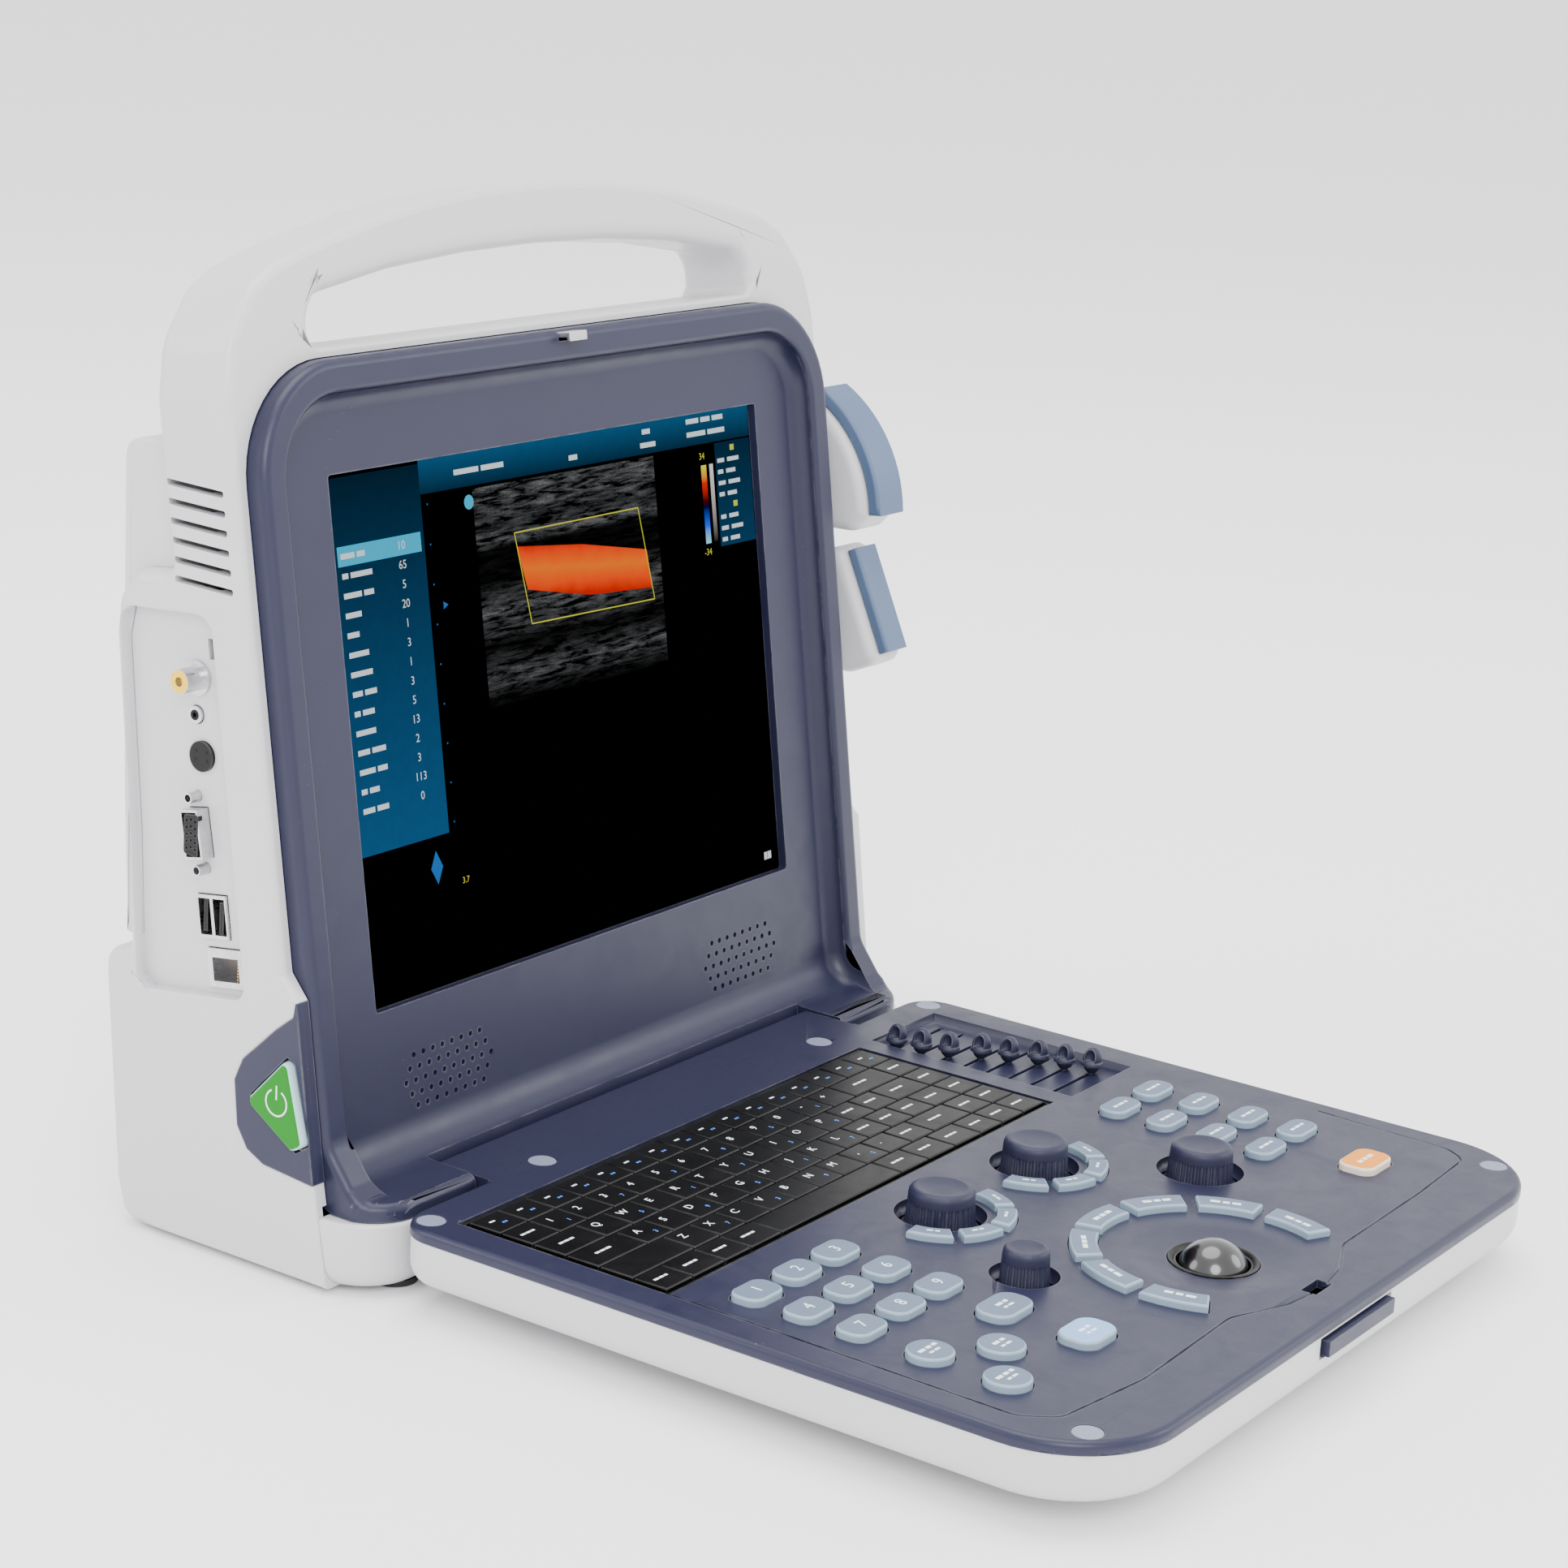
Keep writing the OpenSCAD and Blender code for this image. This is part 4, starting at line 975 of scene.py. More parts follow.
def build_panel_cover():
    """The slate control panel cover with its wells, slots and fine grooved border."""
    rounding = sizes()["cover_round"]
    cover = as_object("panel_cover_moulding", prism(panel_plan(), 20, PANEL_Z))
    soften(cover, rounding, lambda m, e: rounding if m.z > PANEL_Z - 0.2 else 0, 30, 5)
    combine(cover, block((-TONGUE_X, PANEL_BACK - 6, 20), (TONGUE_X, -38, 40)), "UNION")
    combine(cover, cad_solid("panel_cover"), "INTERSECT")
    path = [(-147, -81), (-150.6, -299, 9), (-142.6, -310, 8), (-101.7, -315.4, 60), (-42, -313.2, 14),
            (-20, -322.3, 10), (0, -325, 30), (20, -321.8, 10), (40, -313.1, 14), (102.5, -312.3, 60),
            (143.9, -310.1, 9), (149.6, -301.6, 8), (152.6, -247)]
    cut(cover, prism(ribbon(path, 0.45), PANEL_Z - 0.5, 40))
    finish(cover, "panel", [finish_named("slate")], ["panel_cover"])


def build_panel_tray():
    """The white tray under the panel, with its deep lower rounding."""
    rounding = sizes()["tray_round"]
    floor = node_box("panel_tray")[0].z
    tray = as_object("panel_tray_moulding", prism(panel_plan(0.3), floor, 40))
    soften(tray, rounding, lambda m, e: rounding if m.z < floor + 0.2 else 0, 30, 7)
    combine(tray, cad_solid("panel_tray"), "INTERSECT")
    finish(tray, "panel", [finish_named("tray")], ["panel_tray"])


def build_panel_fittings():
    """The panel's screw caps, its pull latch and the small catch on the rim."""
    caps = merged_copy("screw_caps", "screw_cap_discs")
    soften(caps, 0.3, lambda m, e: 0.3 if m.z > PANEL_Z - 0.3 else 0)
    finish(caps, "panel", [finish_named("cap")], ["screw_caps"])
    latch = merged_copy("panel_latch", "panel_latch_bar")
    soften(latch, 1.2, lambda m, e: 1.2, clamp=True)
    finish(latch, "latch", [finish_named("slate")], ["panel_latch"])
    catch = merged_copy("lid_catch", "rim_catch_tab")
    soften(catch, 0.35, lambda m, e: 0.35)
    finish(catch, "console", [finish_named("steel")], ["lid_catch"])


def knob_solid(radius, base, top, ribs):
    """A ribbed knob with a flared foot and a shallow dished top, standing on a height."""
    tall = top - base
    rows = [(0.98, 0.0), (1.0, 0.012), (1.0, 0.05), (0.97, 0.075), (0.93, 0.1), (0.915, 0.15), (0.905, 0.2),
            (0.895, 0.3), (0.885, 0.45), (0.875, 0.6), (0.87, 0.66), (0.865, 0.69), (0.862, 0.74),
            (0.855, 0.84), (0.84, 0.91), (0.80, 0.965), (0.74, 0.992), (0.68, 1.0), (0.62, 0.992),
            (0.5, 0.965), (0.3, 0.945)]
    profile = [(0, base)] + [(radius * a, base + tall * b) for a, b in rows] + [(0, base + tall * 0.94)]
    bm = turned(profile, ribs * 6)
    depth = radius * 0.06
    for vert in bm.verts:
        height = (vert.co.z - base) / tall
        if 0.12 < height < 0.67:
            angle = math.atan2(vert.co.y, vert.co.x)
            pull = depth * (0.5 + 0.5 * math.cos(ribs * angle)) ** 2
            reach = math.hypot(vert.co.x, vert.co.y)
            if reach > radius * 0.5:
                vert.co.x *= 1 - pull / reach
                vert.co.y *= 1 - pull / reach
    return bm


def build_knobs():
    """The four ribbed knobs, each with a dark disc on its well's floor as painted shade."""
    ribs = int(sizes()["knob_ribs"])
    knobs = (("focus_knob", ribs, 15.6), ("zoom_knob", ribs, 15.6), ("gain_knob", ribs, 15.2),
             ("menu_knob", 22, 11.4))
    for name, count, well in knobs:
        low, high = node_box(name)
        radius = (high.x - low.x) / 2 - 0.8 if name != "menu_knob" else 9.2
        middle = (low + high) / 2
        bm = knob_solid(radius, 27.4, high.z, count)
        knob = as_object(name + "_cap", moved(bm, Matrix.Translation((middle.x, middle.y, 0))))
        finish(knob, name + "_body", [finish_named("slate knob")], [name], 40)
        # A near-black disc on the well's floor: painted shade for the recess round the knob, not a real
        # collar.
        floor = rod(well, 26.7, 27.0, 48)
        dark = as_object(name + "_well_painted_shade", moved(floor, Matrix.Translation((middle.x, middle.y, 0))))
        finish(dark, "panel", [finish_named("dark_fill_and_shade")])


def build_trackball():
    """The polished trackball in its black ring."""
    bm = bmesh.new()
    bmesh.ops.create_uvsphere(bm, u_segments=64, v_segments=32, radius=BALL_R)
    ball = as_object("trackball_sphere", moved(bm, Matrix.Translation(BALL_AT)))
    finish(ball, "trackball_body", [finish_named("gloss")], ["trackball"])
    spot = Matrix.Translation((BALL_AT.x, BALL_AT.y, 0))
    seat = [(0, 17), (15.5, 17), (15.5, 31.1), (15.2, 31.4), (14.6, 31.45), (13.9, 31.1), (13.2, 30.2),
            (0, 30.2)]
    ring = as_object("trackball_seat", moved(turned(seat), spot))
    cut(ring, moved(rod(BALL_R + 0.2, 10, 40), spot))
    finish(ring, "panel", [finish_named("black")], ["trackball_ring"])


def build_function_keys():
    """The soft function keys: printed tops with paler rounded sides."""
    groups = [("mode_keys", "mode_keys_body", "key top"), ("patient_keys", "patient_keys_body", "key top"),
              ("ring_keys", "ring_keys_body", "key top"), ("knob_keys", "knob_keys_body", "key top"),
              ("view_keys", "view_keys_body", "key top"), ("freeze_key", "freeze_key_body", "freeze")]
    wide = sizes()["key_round"]
    probe = max(islands("view_keys"), key=lambda g: corners_mid(g).x)
    low, high = corners_of(probe)
    for node, body, top in groups:
        keys = merged_copy(node, node + "_caps")
        soften(keys, wide, lambda m, e: wide if m.z > KEY_TOP_Z - 0.3 else 0, 30, 4)
        side = "freeze side" if top == "freeze" else "key side"
        finish(keys, body,
               [finish_named(side), finish_named(top), finish_named("probe key")], [node], 40)
        paint_faces(keys, 1, lambda p: p.normal.z > 0.98 and p.center.z / MM > KEY_TOP_Z - 0.2)
        if node == "view_keys":
            paint_faces(keys, 2, lambda p: p.normal.z > 0.98 and p.center.z / MM > KEY_TOP_Z - 0.2
                        and low.x < p.center.x / MM < high.x and low.y < p.center.y / MM < high.y)


def printed(bm, x, y, z, turn=0.0):
    """A flat mark placed on the panel, turned by some degrees."""
    return moved(bm, at(x, y, z, turn))


def build_function_marks():
    """Generic digits and short bars printed on the function keys."""
    top = KEY_TOP_Z + PRINT_LIFT
    marks = [printed(lettering(str(i + 1), 6.2), *corners_mid(g)[:2], top)
             for i, g in enumerate(islands("mode_keys"))]
    body_marks("mode_key_marks", "mode_keys_body", marks)
    marks = [printed(bars([2.6, 3.4, 1.8], 1.2, 0.8), *corners_mid(g)[:2], top)
             for g in islands("patient_keys")]
    body_marks("patient_key_marks", "patient_keys_body", marks)
    marks = []
    for group in islands("ring_keys"):
        middle = corners_mid(group)
        turn = math.degrees(math.atan2(middle.y - BALL_AT.y, middle.x - BALL_AT.x)) - 90
        marks.append(printed(bars([3.4, 2.4, 3.0], 1.7, 0.9), middle.x, middle.y, top, turn))
    body_marks("ring_key_marks", "ring_keys_body", marks)
    marks = []
    knobs = [node_centre("focus_knob"), node_centre("zoom_knob")]
    for group in islands("knob_keys"):
        middle = corners_mid(group)
        hub = min(knobs, key=lambda k: (k - middle).length)
        turn = math.degrees(math.atan2(middle.y - hub.y, middle.x - hub.x)) + 90
        marks.append(printed(bars([2.2, 1.6], 1.0, 0.7), middle.x, middle.y, top, turn))
    body_marks("knob_key_marks", "knob_keys_body", marks)
    marks = []
    for i, group in enumerate(islands("view_keys")):
        middle = corners_mid(group)
        marks.append(printed(bars([3.2, 2.4][: 1 + i % 2] + [2.0], 1.4, 0.9), middle.x, middle.y + 1.2, top))
        marks.append(printed(bars([2.0, 2.6], 1.0, 0.8), middle.x, middle.y - 1.6, top))
    body_marks("view_key_marks", "view_keys_body", marks)
    middle = node_centre("freeze_key")
    word = printed(bars([3, 2.2, 3.6], 1.7, 0.9), middle.x, middle.y, top)
    body_marks("freeze_key_marks", "freeze_key_body", [word])


def body_marks(name, body, parts, ink="legend"):
    """Printed marks that move with a body."""
    obj = as_object(name, together(parts))
    return finish(obj, body, [finish_named(ink)])


LETTER_ROWS = ["", "1234567890-+", "QWERTYUIOP", "ASDFGHJKL", "ZXCVBNM,.", ""]


def build_letter_keys():
    """The black keyboard: its keys, white legends and small blue second legends."""
    keys = merged_copy("letter_keys", "letter_key_caps")
    top = node_box("letter_keys")[1].z
    ink = top + PRINT_LIFT
    soften(keys, 0.5, lambda m, e: 0.5 if m.z > top - 0.1 else 0, 30, 3)
    finish(keys, "letter_keys_body", [finish_named("keyboard")], ["letter_keys"], 40)
    rows = {}
    for group in islands("letter_keys"):
        middle = corners_mid(group)
        rows.setdefault(round(middle.y / 3), []).append(group)
    white, blue = [], []
    for row, key in enumerate(sorted(rows, reverse=True)):
        line = sorted(rows[key], key=lambda g: corners_mid(g).x)
        for i, group in enumerate(line):
            low, high = corners_of(group)
            wide = high.x - low.x
            x, y = (low.x + high.x) / 2, (low.y + high.y) / 2
            text = LETTER_ROWS[row] if row < len(LETTER_ROWS) else ""
            place = i - 1
            if text and 0 <= place < len(text):
                white.append(printed(lettering(text[place], 4.4), x - wide * 0.16, y + 1.8, ink))
                if (row + place) % 2:
                    second = lettering(str((place * 3 + row) % 10), 2.9)
                    blue.append(printed(second, x + wide * 0.2, y - 2.4, ink))
            elif row == 0:
                white.append(printed(bars([2.6], 0.8, 0.4), x - wide * 0.12, y + 1.4, ink))
                blue.append(printed(bars([0.8, 0.8], 0.9, 0.5), x + wide * 0.1, y - 1.6, ink))
            elif wide < 30:
                word = bars([min(2.2, wide * 0.16)] * 2 + [wide * 0.1], 1.0, 0.5)
                white.append(printed(word, x - wide * 0.06, y + 0.6, ink))
    body_marks("letter_key_marks", "letter_keys_body", white)
    body_marks("letter_key_second_marks", "letter_keys_body", blue, "second legend")
    dress(finish_named("keyboard"), "keyboard_base")


def build_sliders():
    """The eight gain sliders: domed thumb tabs with a scoop, each on a small collar."""
    for i in range(SLIDERS):
        node = f"tgc_slider_{i + 1}"
        low, high = node_box(node)
        x, y = (low.x + high.x) / 2, (low.y + high.y) / 2
        dome = ball((3.9, 3.7, 5.2), 40, 24)
        tab = as_object(node + "_tab", moved(dome, at(x + 0.2, y, high.z - 5.3)))
        scoop = ball((2.4, 2.4, 4.0), 32, 16)
        combine(tab, moved(scoop, at(x - 3.6, y - 0.4, high.z - 3.6, 14, "Y")), "DIFFERENCE")
        collar = turned([(0, 24.6), (1.2, 24.6), (1.2, 32.4), (4.2, 32.4), (4.3, 32.9), (4.1, 33.5),
                         (3.0, 34.4), (0, 34.4)], 32)
        combine(tab, moved(collar, Matrix.Translation((x, y, 0))), "UNION")
        finish(tab, node + "_body", [finish_named("slate knob")], [node], 35)


# ---- Screen picture ----

LIFT = 0.03


def patch(corners, layer, paint):
    """A flat piece of the display's picture, from corners (across, up), in one of its finishes."""
    bm = bmesh.new()
    face = bm.faces.new([bm.verts.new((u, -LIFT * layer, v)) for u, v in corners])
    face.material_index = paint
    face.normal_update()
    if face.normal.y > 0:
        face.normal_flip()
    return bm


def area(u0, u1, v0, v1, layer, paint):
    """A rectangle of the display's picture."""
    return patch([(u0, v0), (u1, v0), (u1, v1), (u0, v1)], layer, paint)


def greeked(u, v, widths, height, layer, paint, gap=0.8):
    """A row of short bars that stands for a printed word, from its left end."""
    parts = []
    for width in widths:
        parts.append(area(u, u + width, v - height / 2, v + height / 2, layer, paint))
        u += width + gap
    return parts


def digits(text, u, v, size, layer, paint):
    """Digits on the display, centred on a place."""
    bm = lettering(text, size, 0)
    for face in bm.faces:
        face.material_index = paint
    moved(bm, Matrix.Translation((u, -LIFT * layer, v)) @ Matrix.Rotation(math.pi / 2, 4, "X"))
    return bm


def glow(name, build, strength=1.0):
    """A finish that shines with a colour made by a small set of nodes."""
    if name in bpy.data.materials:
        return bpy.data.materials[name]
    material, s, shader, place = fresh_material(name)
    shader.inputs["Base Color"].default_value = (0.0, 0.0, 0.0, 1)
    shader.inputs["Roughness"].default_value = 0.22
    on_screen = s.add("Mapping", {"vector_type": "POINT"}, Vector=place)
    on_screen.inputs["Location"].default_value = -SCREEN_AT * MM
    upright = s.add("Mapping", {"vector_type": "POINT"}, Vector=on_screen.outputs[0])
    upright.inputs["Rotation"].default_value = (LEAN, 0, 0)
    split = s.add("SeparateXYZ", Vector=upright.outputs[0])
    s.feed(shader.inputs["Emission Color"], build(s, split.outputs[0], split.outputs[2], upright.outputs[0]))
    shader.inputs["Emission Strength"].default_value = strength
    shader.inputs["Specular IOR Level"].default_value = 0.0
    return material


def ramp(s, value, stops):
    """A colour ramp through (position, colour) stops; its colour is returned."""
    node = s.add("ValToRGB", Fac=value)
    items = node.color_ramp.elements
    while len(items) < len(stops):
        items.new(0.5)
    for item, (position, tint) in zip(items, stops):
        item.position = position
        item.color = tint
    return node.outputs[0]


def shade(low, high, first, second):
    """A gradient up the screen from one display colour to another, with faint lines."""
    def build(s, u, v, place):
        tone = s.span(v, low * MM, high * MM)
        lines = s.add("TexNoise", Vector=place, Scale=300.0)
        mixed = s.mix(tone, srgb(*first), srgb(*second))
        return s.mix(s.span(lines.outputs["Fac"], 0.3, 0.7, 0.0, 0.08), mixed, (0, 0, 0, 1))
    return build


def tissue(s, u, v, place):
    """Grey layered tissue: long streaks that come and go with depth."""
    stretched = s.add("Mapping", Vector=place)
    stretched.inputs["Scale"].default_value = (70, 70, 520)
    streaks = s.add("TexNoise", Vector=stretched.outputs[0], Scale=1.0, Detail=6.0, Roughness=0.7,
                    Distortion=0.4)
    grains = s.add("TexNoise", Vector=place, Scale=1400.0, Detail=2.0)
    depth = s.span(v, 0.0, 80 * MM)
    grey = [(0.0, 0.0), (0.06, 0.05), (0.13, 0.2), (0.2, 0.07), (0.27, 0.01), (0.36, 0.14), (0.43, 0.24),
            (0.5, 0.1), (0.56, 0.01), (0.70, 0.01), (0.74, 0.24), (0.80, 0.1), (0.90, 0.2), (1.0, 0.22)]
    level = ramp(s, depth, [(p, (g, g, g, 1)) for p, g in grey])
    sharp = s.span(streaks.outputs["Fac"], 0.42, 0.72, 0.0, 1.0)
    speckle = s.span(grains.outputs["Fac"], 0.2, 0.8, 0.5, 1.2)
    light = s.math("MULTIPLY", s.math("MULTIPLY", sharp, speckle), level)
    tone = s.add("CombineColor")
    for socket, gain in zip(tone.inputs, (0.92, 0.95, 1.0)):
        s.feed(socket, s.math("MULTIPLY", light, gain))
    return tone.outputs[0]


def flow(s, u, v, place):
    """The bright flow inside the vessel: orange in its middle, red near its walls."""
    blotch = s.add("TexNoise", Vector=place, Scale=120.0, Detail=3.0)
    slant = s.math("ADD", v, s.math("MULTIPLY", u, 0.09))
    across = s.span(s.math("ADD", slant, s.math("MULTIPLY", blotch.outputs["Fac"], 0.004)), 0.037, 0.057)
    return ramp(s, across, [(0.0, srgb(206, 22, 0)), (0.2, srgb(255, 72, 0)), (0.5, srgb(255, 118, 6)),
                            (0.8, srgb(255, 62, 0)), (1.0, srgb(196, 16, 0))])


def colour_scale(s, u, v, place):
    """The flow scale: yellow to red above, blue to pale below."""
    up = s.span(v, 41.7 * MM, 71.8 * MM)
    stops = [(0.0, srgb(150, 240, 255)), (0.22, srgb(30, 90, 255)), (0.46, srgb(0, 0, 60)),
             (0.54, srgb(60, 0, 0)), (0.78, srgb(235, 30, 0)), (1.0, srgb(240, 240, 60))]
    return ramp(s, up, stops)


def display_finishes():
    """The finishes of the display's picture, in the order that its pieces number them."""
    def plain(*tint):
        def build(s, u, v, place):
            dots = s.add("TexNoise", Vector=place, Scale=900.0)
            return s.mix(s.span(dots.outputs["Fac"], 0.3, 0.7, 0.0, 0.06), srgb(*tint), (0, 0, 0, 1))
        return build
    return [glow("display black", plain(1, 1, 2)),
            glow("display header", shade(79, 92, (8, 40, 62), (20, 84, 124))),
            glow("display menu", shade(-39, 91, (20, 84, 130), (6, 34, 52))),
            glow("display highlight", plain(38, 190, 232)), glow("display white", plain(232, 240, 244)),
            glow("display yellow", plain(214, 214, 60)), glow("display tissue", tissue),
            glow("display flow", flow), glow("display scale", colour_scale),
            glow("display grey scale", shade(41.7, 71.8, (10, 10, 10), (235, 235, 235))),
            glow("display blue", plain(40, 110, 190))]


BLACK, HEADER, MENU, HIGHLIGHT, WHITE, YELLOW, TISSUE, FLOW, SCALE, GREYS, BLUE = range(11)
MENU_WORDS = [[7, 4], [3, 11], [9, 5], [8], [6], [10], [11], [5, 6], [3, 6], [10], [6, 7], [8, 5], [3, 5],
              [6, 6]]
MENU_VALUES = [10, 65, 5, 20, 1, 3, 1, 3, 5, 13, 2, 3, 113, 0]
MENU_PITCH = 6.73


def build_display():
    """The display's generic picture: menu, header, tissue image, flow box and scales."""
    parts = [area(-LCD_X + 0.2, LCD_X - 0.2, -LCD_V + 0.2, LCD_V - 0.2, 1, BLACK),
             area(-73.3, LCD_X - 0.2, 80, LCD_V - 0.2, 2, HEADER),
             area(-121.6, -73.3, -39, LCD_V - 1.6, 2, MENU),
             area(-118, -75, 60.6, 67.4, 3, HIGHLIGHT), area(-45.6, 60.5, 0, 78.8, 2, TISSUE)]
    for row, (widths, value) in enumerate(zip(MENU_WORDS, MENU_VALUES)):
        v = 64 - MENU_PITCH * row
        parts += greeked(-116.5, v, widths, 1.9, 4, WHITE, 1.2)
        parts.append(digits(str(value), -85.5, v, 4.2, 4, WHITE))
    for u, v, widths in ((-54.8, 85.5, [13.5, 12.5]), (9.9, 83.5, [5]), (54.6, 88.3, [5]), (53, 83.3, [9.5]),
                         (82.4, 89.2, [8, 6, 7]), (82.4, 84.2, [12, 11])):
        parts += greeked(u, v, widths, 1.9, 3, WHITE, 1.4)
    vessel = fillet([(-23.7, 55.5), (14, 51.5, 60), (52.2, 44.6), (54, 30), (16, 32.5, 60), (-19.3, 39.4)], 8)
    parts.append(patch([tuple(p) for p in vessel], 3, FLOW))
    frame_corners = [(-24.4, 60.5), (48.7, 60.7), (54.9, 25.5), (-18.5, 26.9)]
    for a, b in zip(frame_corners, frame_corners[1:] + frame_corners[:1]):
        way = (Vector(b) - Vector(a)).normalized() * 0.22
        side = Vector((-way.y, way.x))
        parts.append(patch([tuple(Vector(a) - side), tuple(Vector(b) - side), tuple(Vector(b) + side),
                            tuple(Vector(a) + side)], 4, YELLOW))
    parts += [area(90, 93.4, 41.7, 71.8, 3, SCALE), area(95.4, 97.8, 41.7, 71.8, 3, GREYS)]
    parts += [digits("34", 91, 75.2, 3.6, 3, YELLOW), digits("-34", 91, 38.4, 3.6, 3, YELLOW)]
    parts.append(area(99.5, LCD_X - 0.4, 39.5, 79.4, 2, MENU))
    for row in range(9):
        v = 76.8 - 4.35 * row
        if row in (0, 5):
            parts += greeked(109.5, v, [2.6], 2.2, 4, YELLOW)
        else:
            parts += greeked(100.8, v, [4.5, 7.5] if row % 2 else [3.4, 6.0], 1.6, 4, WHITE, 2.0)
    for k in range(9):
        parts.append(area(-70.4, -69.8, 76 - 14 * k, 76.6 - 14 * k, 3, BLUE))
    parts.append(patch([(-66, 39), (-63.4, 40.4), (-66, 41.8)], 3, BLUE))
    parts.append(patch([tuple(p) for p in arc((-47.9, 74.4), 2.6, 0, 345, 20)], 4, HIGHLIGHT))
    parts.append(patch([(-81.3 - 3.2, -50), (-81.3, -56), (-81.3 + 3.2, -50), (-81.3, -44)], 3, BLUE))
    parts.append(digits("3.7", -66.5, -57.4, 3.2, 3, YELLOW))
    parts += greeked(113.4, -85.6, [2.0, 2.4], 3.0, 3, WHITE, 0.3)
    to_screen = TILTED.inverted()
    glass = min((to_screen @ (vert.co / MM)).y for vert in NODES["screen_glass"].data.vertices)
    picture = as_object("display_picture", moved(together(parts), TILTED @ Matrix.Translation((0, glass, 0))))
    finish(picture, "console", display_finishes())
    dress(finish_named("glass"), "screen_glass")
    dress(finish_named("dull steel"), "lcd_module")


# ---- Side fittings ----

def build_power():
    """The slate side plate with its green push button and generic power mark."""
    wrap = [(-26.1, 100), (-35.1, 38), (-34.75, 38), (-25.75, 100)]
    plate = as_object("power_plate_moulding", prism(wrap, -CASE_X - 0.2, -RIM_X - 0.3, "x"))
    combine(plate, cad_solid("power_plate"), "UNION")
    finish(plate, "console", [finish_named("slate")], ["power_plate"])
    low, high = node_box("power_button")
    outline = fillet(BUTTON_OUTLINE, 5)
    steps = [(high.x, 0), (low.x + 1.9, 0), (low.x + 0.9, -0.22), (low.x + 0.25, -0.75), (low.x, -1.5)]
    loops = [[(x, p.x, p.y) for p in grown(outline, grow)] for x, grow in steps]
    button = as_object("power_button_cap", stack(loops))
    finish(button, "power_button_body", [finish_named("button side"), finish_named("button")],
           ["power_button"], 40)
    paint_faces(button, 1, lambda p: p.normal.x < -0.9)
    y, z = (low.y + high.y) / 2 - 0.6, (low.z + high.z) / 2 + 0.6
    outer, inner = arc((y, z), 4.9, 118, 422, 30), arc((y, z), 4.3, 118, 422, 30)
    stroke = [(y - 0.3, z + 1), (y + 0.3, z + 1), (y + 0.3, z + 6), (y - 0.3, z + 6)]
    parts = [prism(shape, low.x - 0.03, low.x + 0.1, "x") for shape in (outer + inner[::-1], stroke)]
    body_marks("power_button_mark", "power_button_body", parts)


def build_sockets():
    """The white socket field and its plated, black and coloured socket details."""
    dress(finish_named("shell"), "io_panel")
    dress(finish_named("steel"), "audio_jack", "svideo_socket", "vga_socket", "usb_socket", "lan_socket",
          "rca_socket")

    def side_disc(name, node, radius, proud, depth, key, hole=0.0):
        middle = node_centre(node)
        place = at(node_box(node)[0].x - proud, middle.y, middle.z, 90, "Y")
        profile = [(0, 0), (radius, 0), (radius, depth - 0.1), (radius - 0.1, depth), (0, depth)]
        disc = as_object(name, moved(turned(profile, 40), place))
        if hole:
            cut(disc, moved(rod(hole, -1, depth * 0.8, 28), place))
        finish(disc, "console", [finish_named(key)])
        return middle

    side_disc("rca_insert", "rca_socket", 3.9, 0.1, 3, "yellow", 1.7)
    side_disc("jack_hole", "audio_jack", 1.8, 0.15, 2, "dark_fill_and_shade", 0.9)
    middle = side_disc("svideo_insert", "svideo_socket", 5.3, 0.15, 2, "black")
    pins = []
    front = node_box("svideo_socket")[0].x - 0.25
    for a in (35, 145, 205, 335):
        y, z = middle.y + 2.9 * math.cos(math.radians(a)), middle.z + 2.9 * math.sin(math.radians(a))
        pins.append(block((front, y - 0.45, z - 0.45), (front + 1, y + 0.45, z + 0.45)))
    obj = as_object("svideo_pins", together(pins))
    finish(obj, "console", [finish_named("dark_fill_and_shade")])
    low, high = node_box("vga_socket")
    mid = (low + high) / 2
    half_y, half_z = 3.2, 7.6
    shape = fillet([(mid.y - half_y, mid.z - half_z, 1.2), (mid.y + half_y, mid.z - half_z + 0.9, 1.2),
                    (mid.y + half_y, mid.z + half_z - 0.9, 1.2), (mid.y - half_y, mid.z + half_z, 1.2)], 4)
    insert = as_object("vga_insert", prism(shape, low.x - 0.1, low.x + 2, "x"))
    holes = []
    for column in range(3):
        for row in range(5):
            y = mid.y + (column - 1) * 1.9
            z = mid.z + (row - 2) * 2.4 + (0.6 if column == 1 else 0)
            hole = rod(0.5, -0.5, 1, 10)
            holes.append(moved(hole, at(low.x - 0.1, y, z, 90, "Y")))
    cut(insert, *holes)
    finish(insert, "console", [finish_named("black")])
    inner = []
    low, high = node_box("usb_socket")
    for side in (-1, 1):
        y = (low.y + high.y) / 2 + side * 3.6
        inner.append(block((low.x + 0.6, y - 0.9, low.z + 2.6), (low.x + 9, y + 0.9, high.z - 2.6)))
    tongues = as_object("usb_tongues", together(inner))
    finish(tongues, "console", [finish_named("black")])
    low, high = node_box("lan_socket")
    pins = []
    for k in range(8):
        foot = low.z + 3.4 + 1.05 * k
        pins.append(block((low.x + 1, low.y + 4.2, foot), (low.x + 7, low.y + 4.6, foot + 0.5)))
    contacts = as_object("lan_contacts", together(pins))
    finish(contacts, "console", [finish_named("gold")])


def probe_place(face, lean):
    """Where a probe's own frame stands: its axis forwards and up from the middle of its face."""
    return Matrix.Translation((PROBE_X, *face)) @ Matrix.Rotation(math.radians(-90), 4, "Z") @ \
        Matrix.Rotation(math.radians(-lean), 4, "Y")


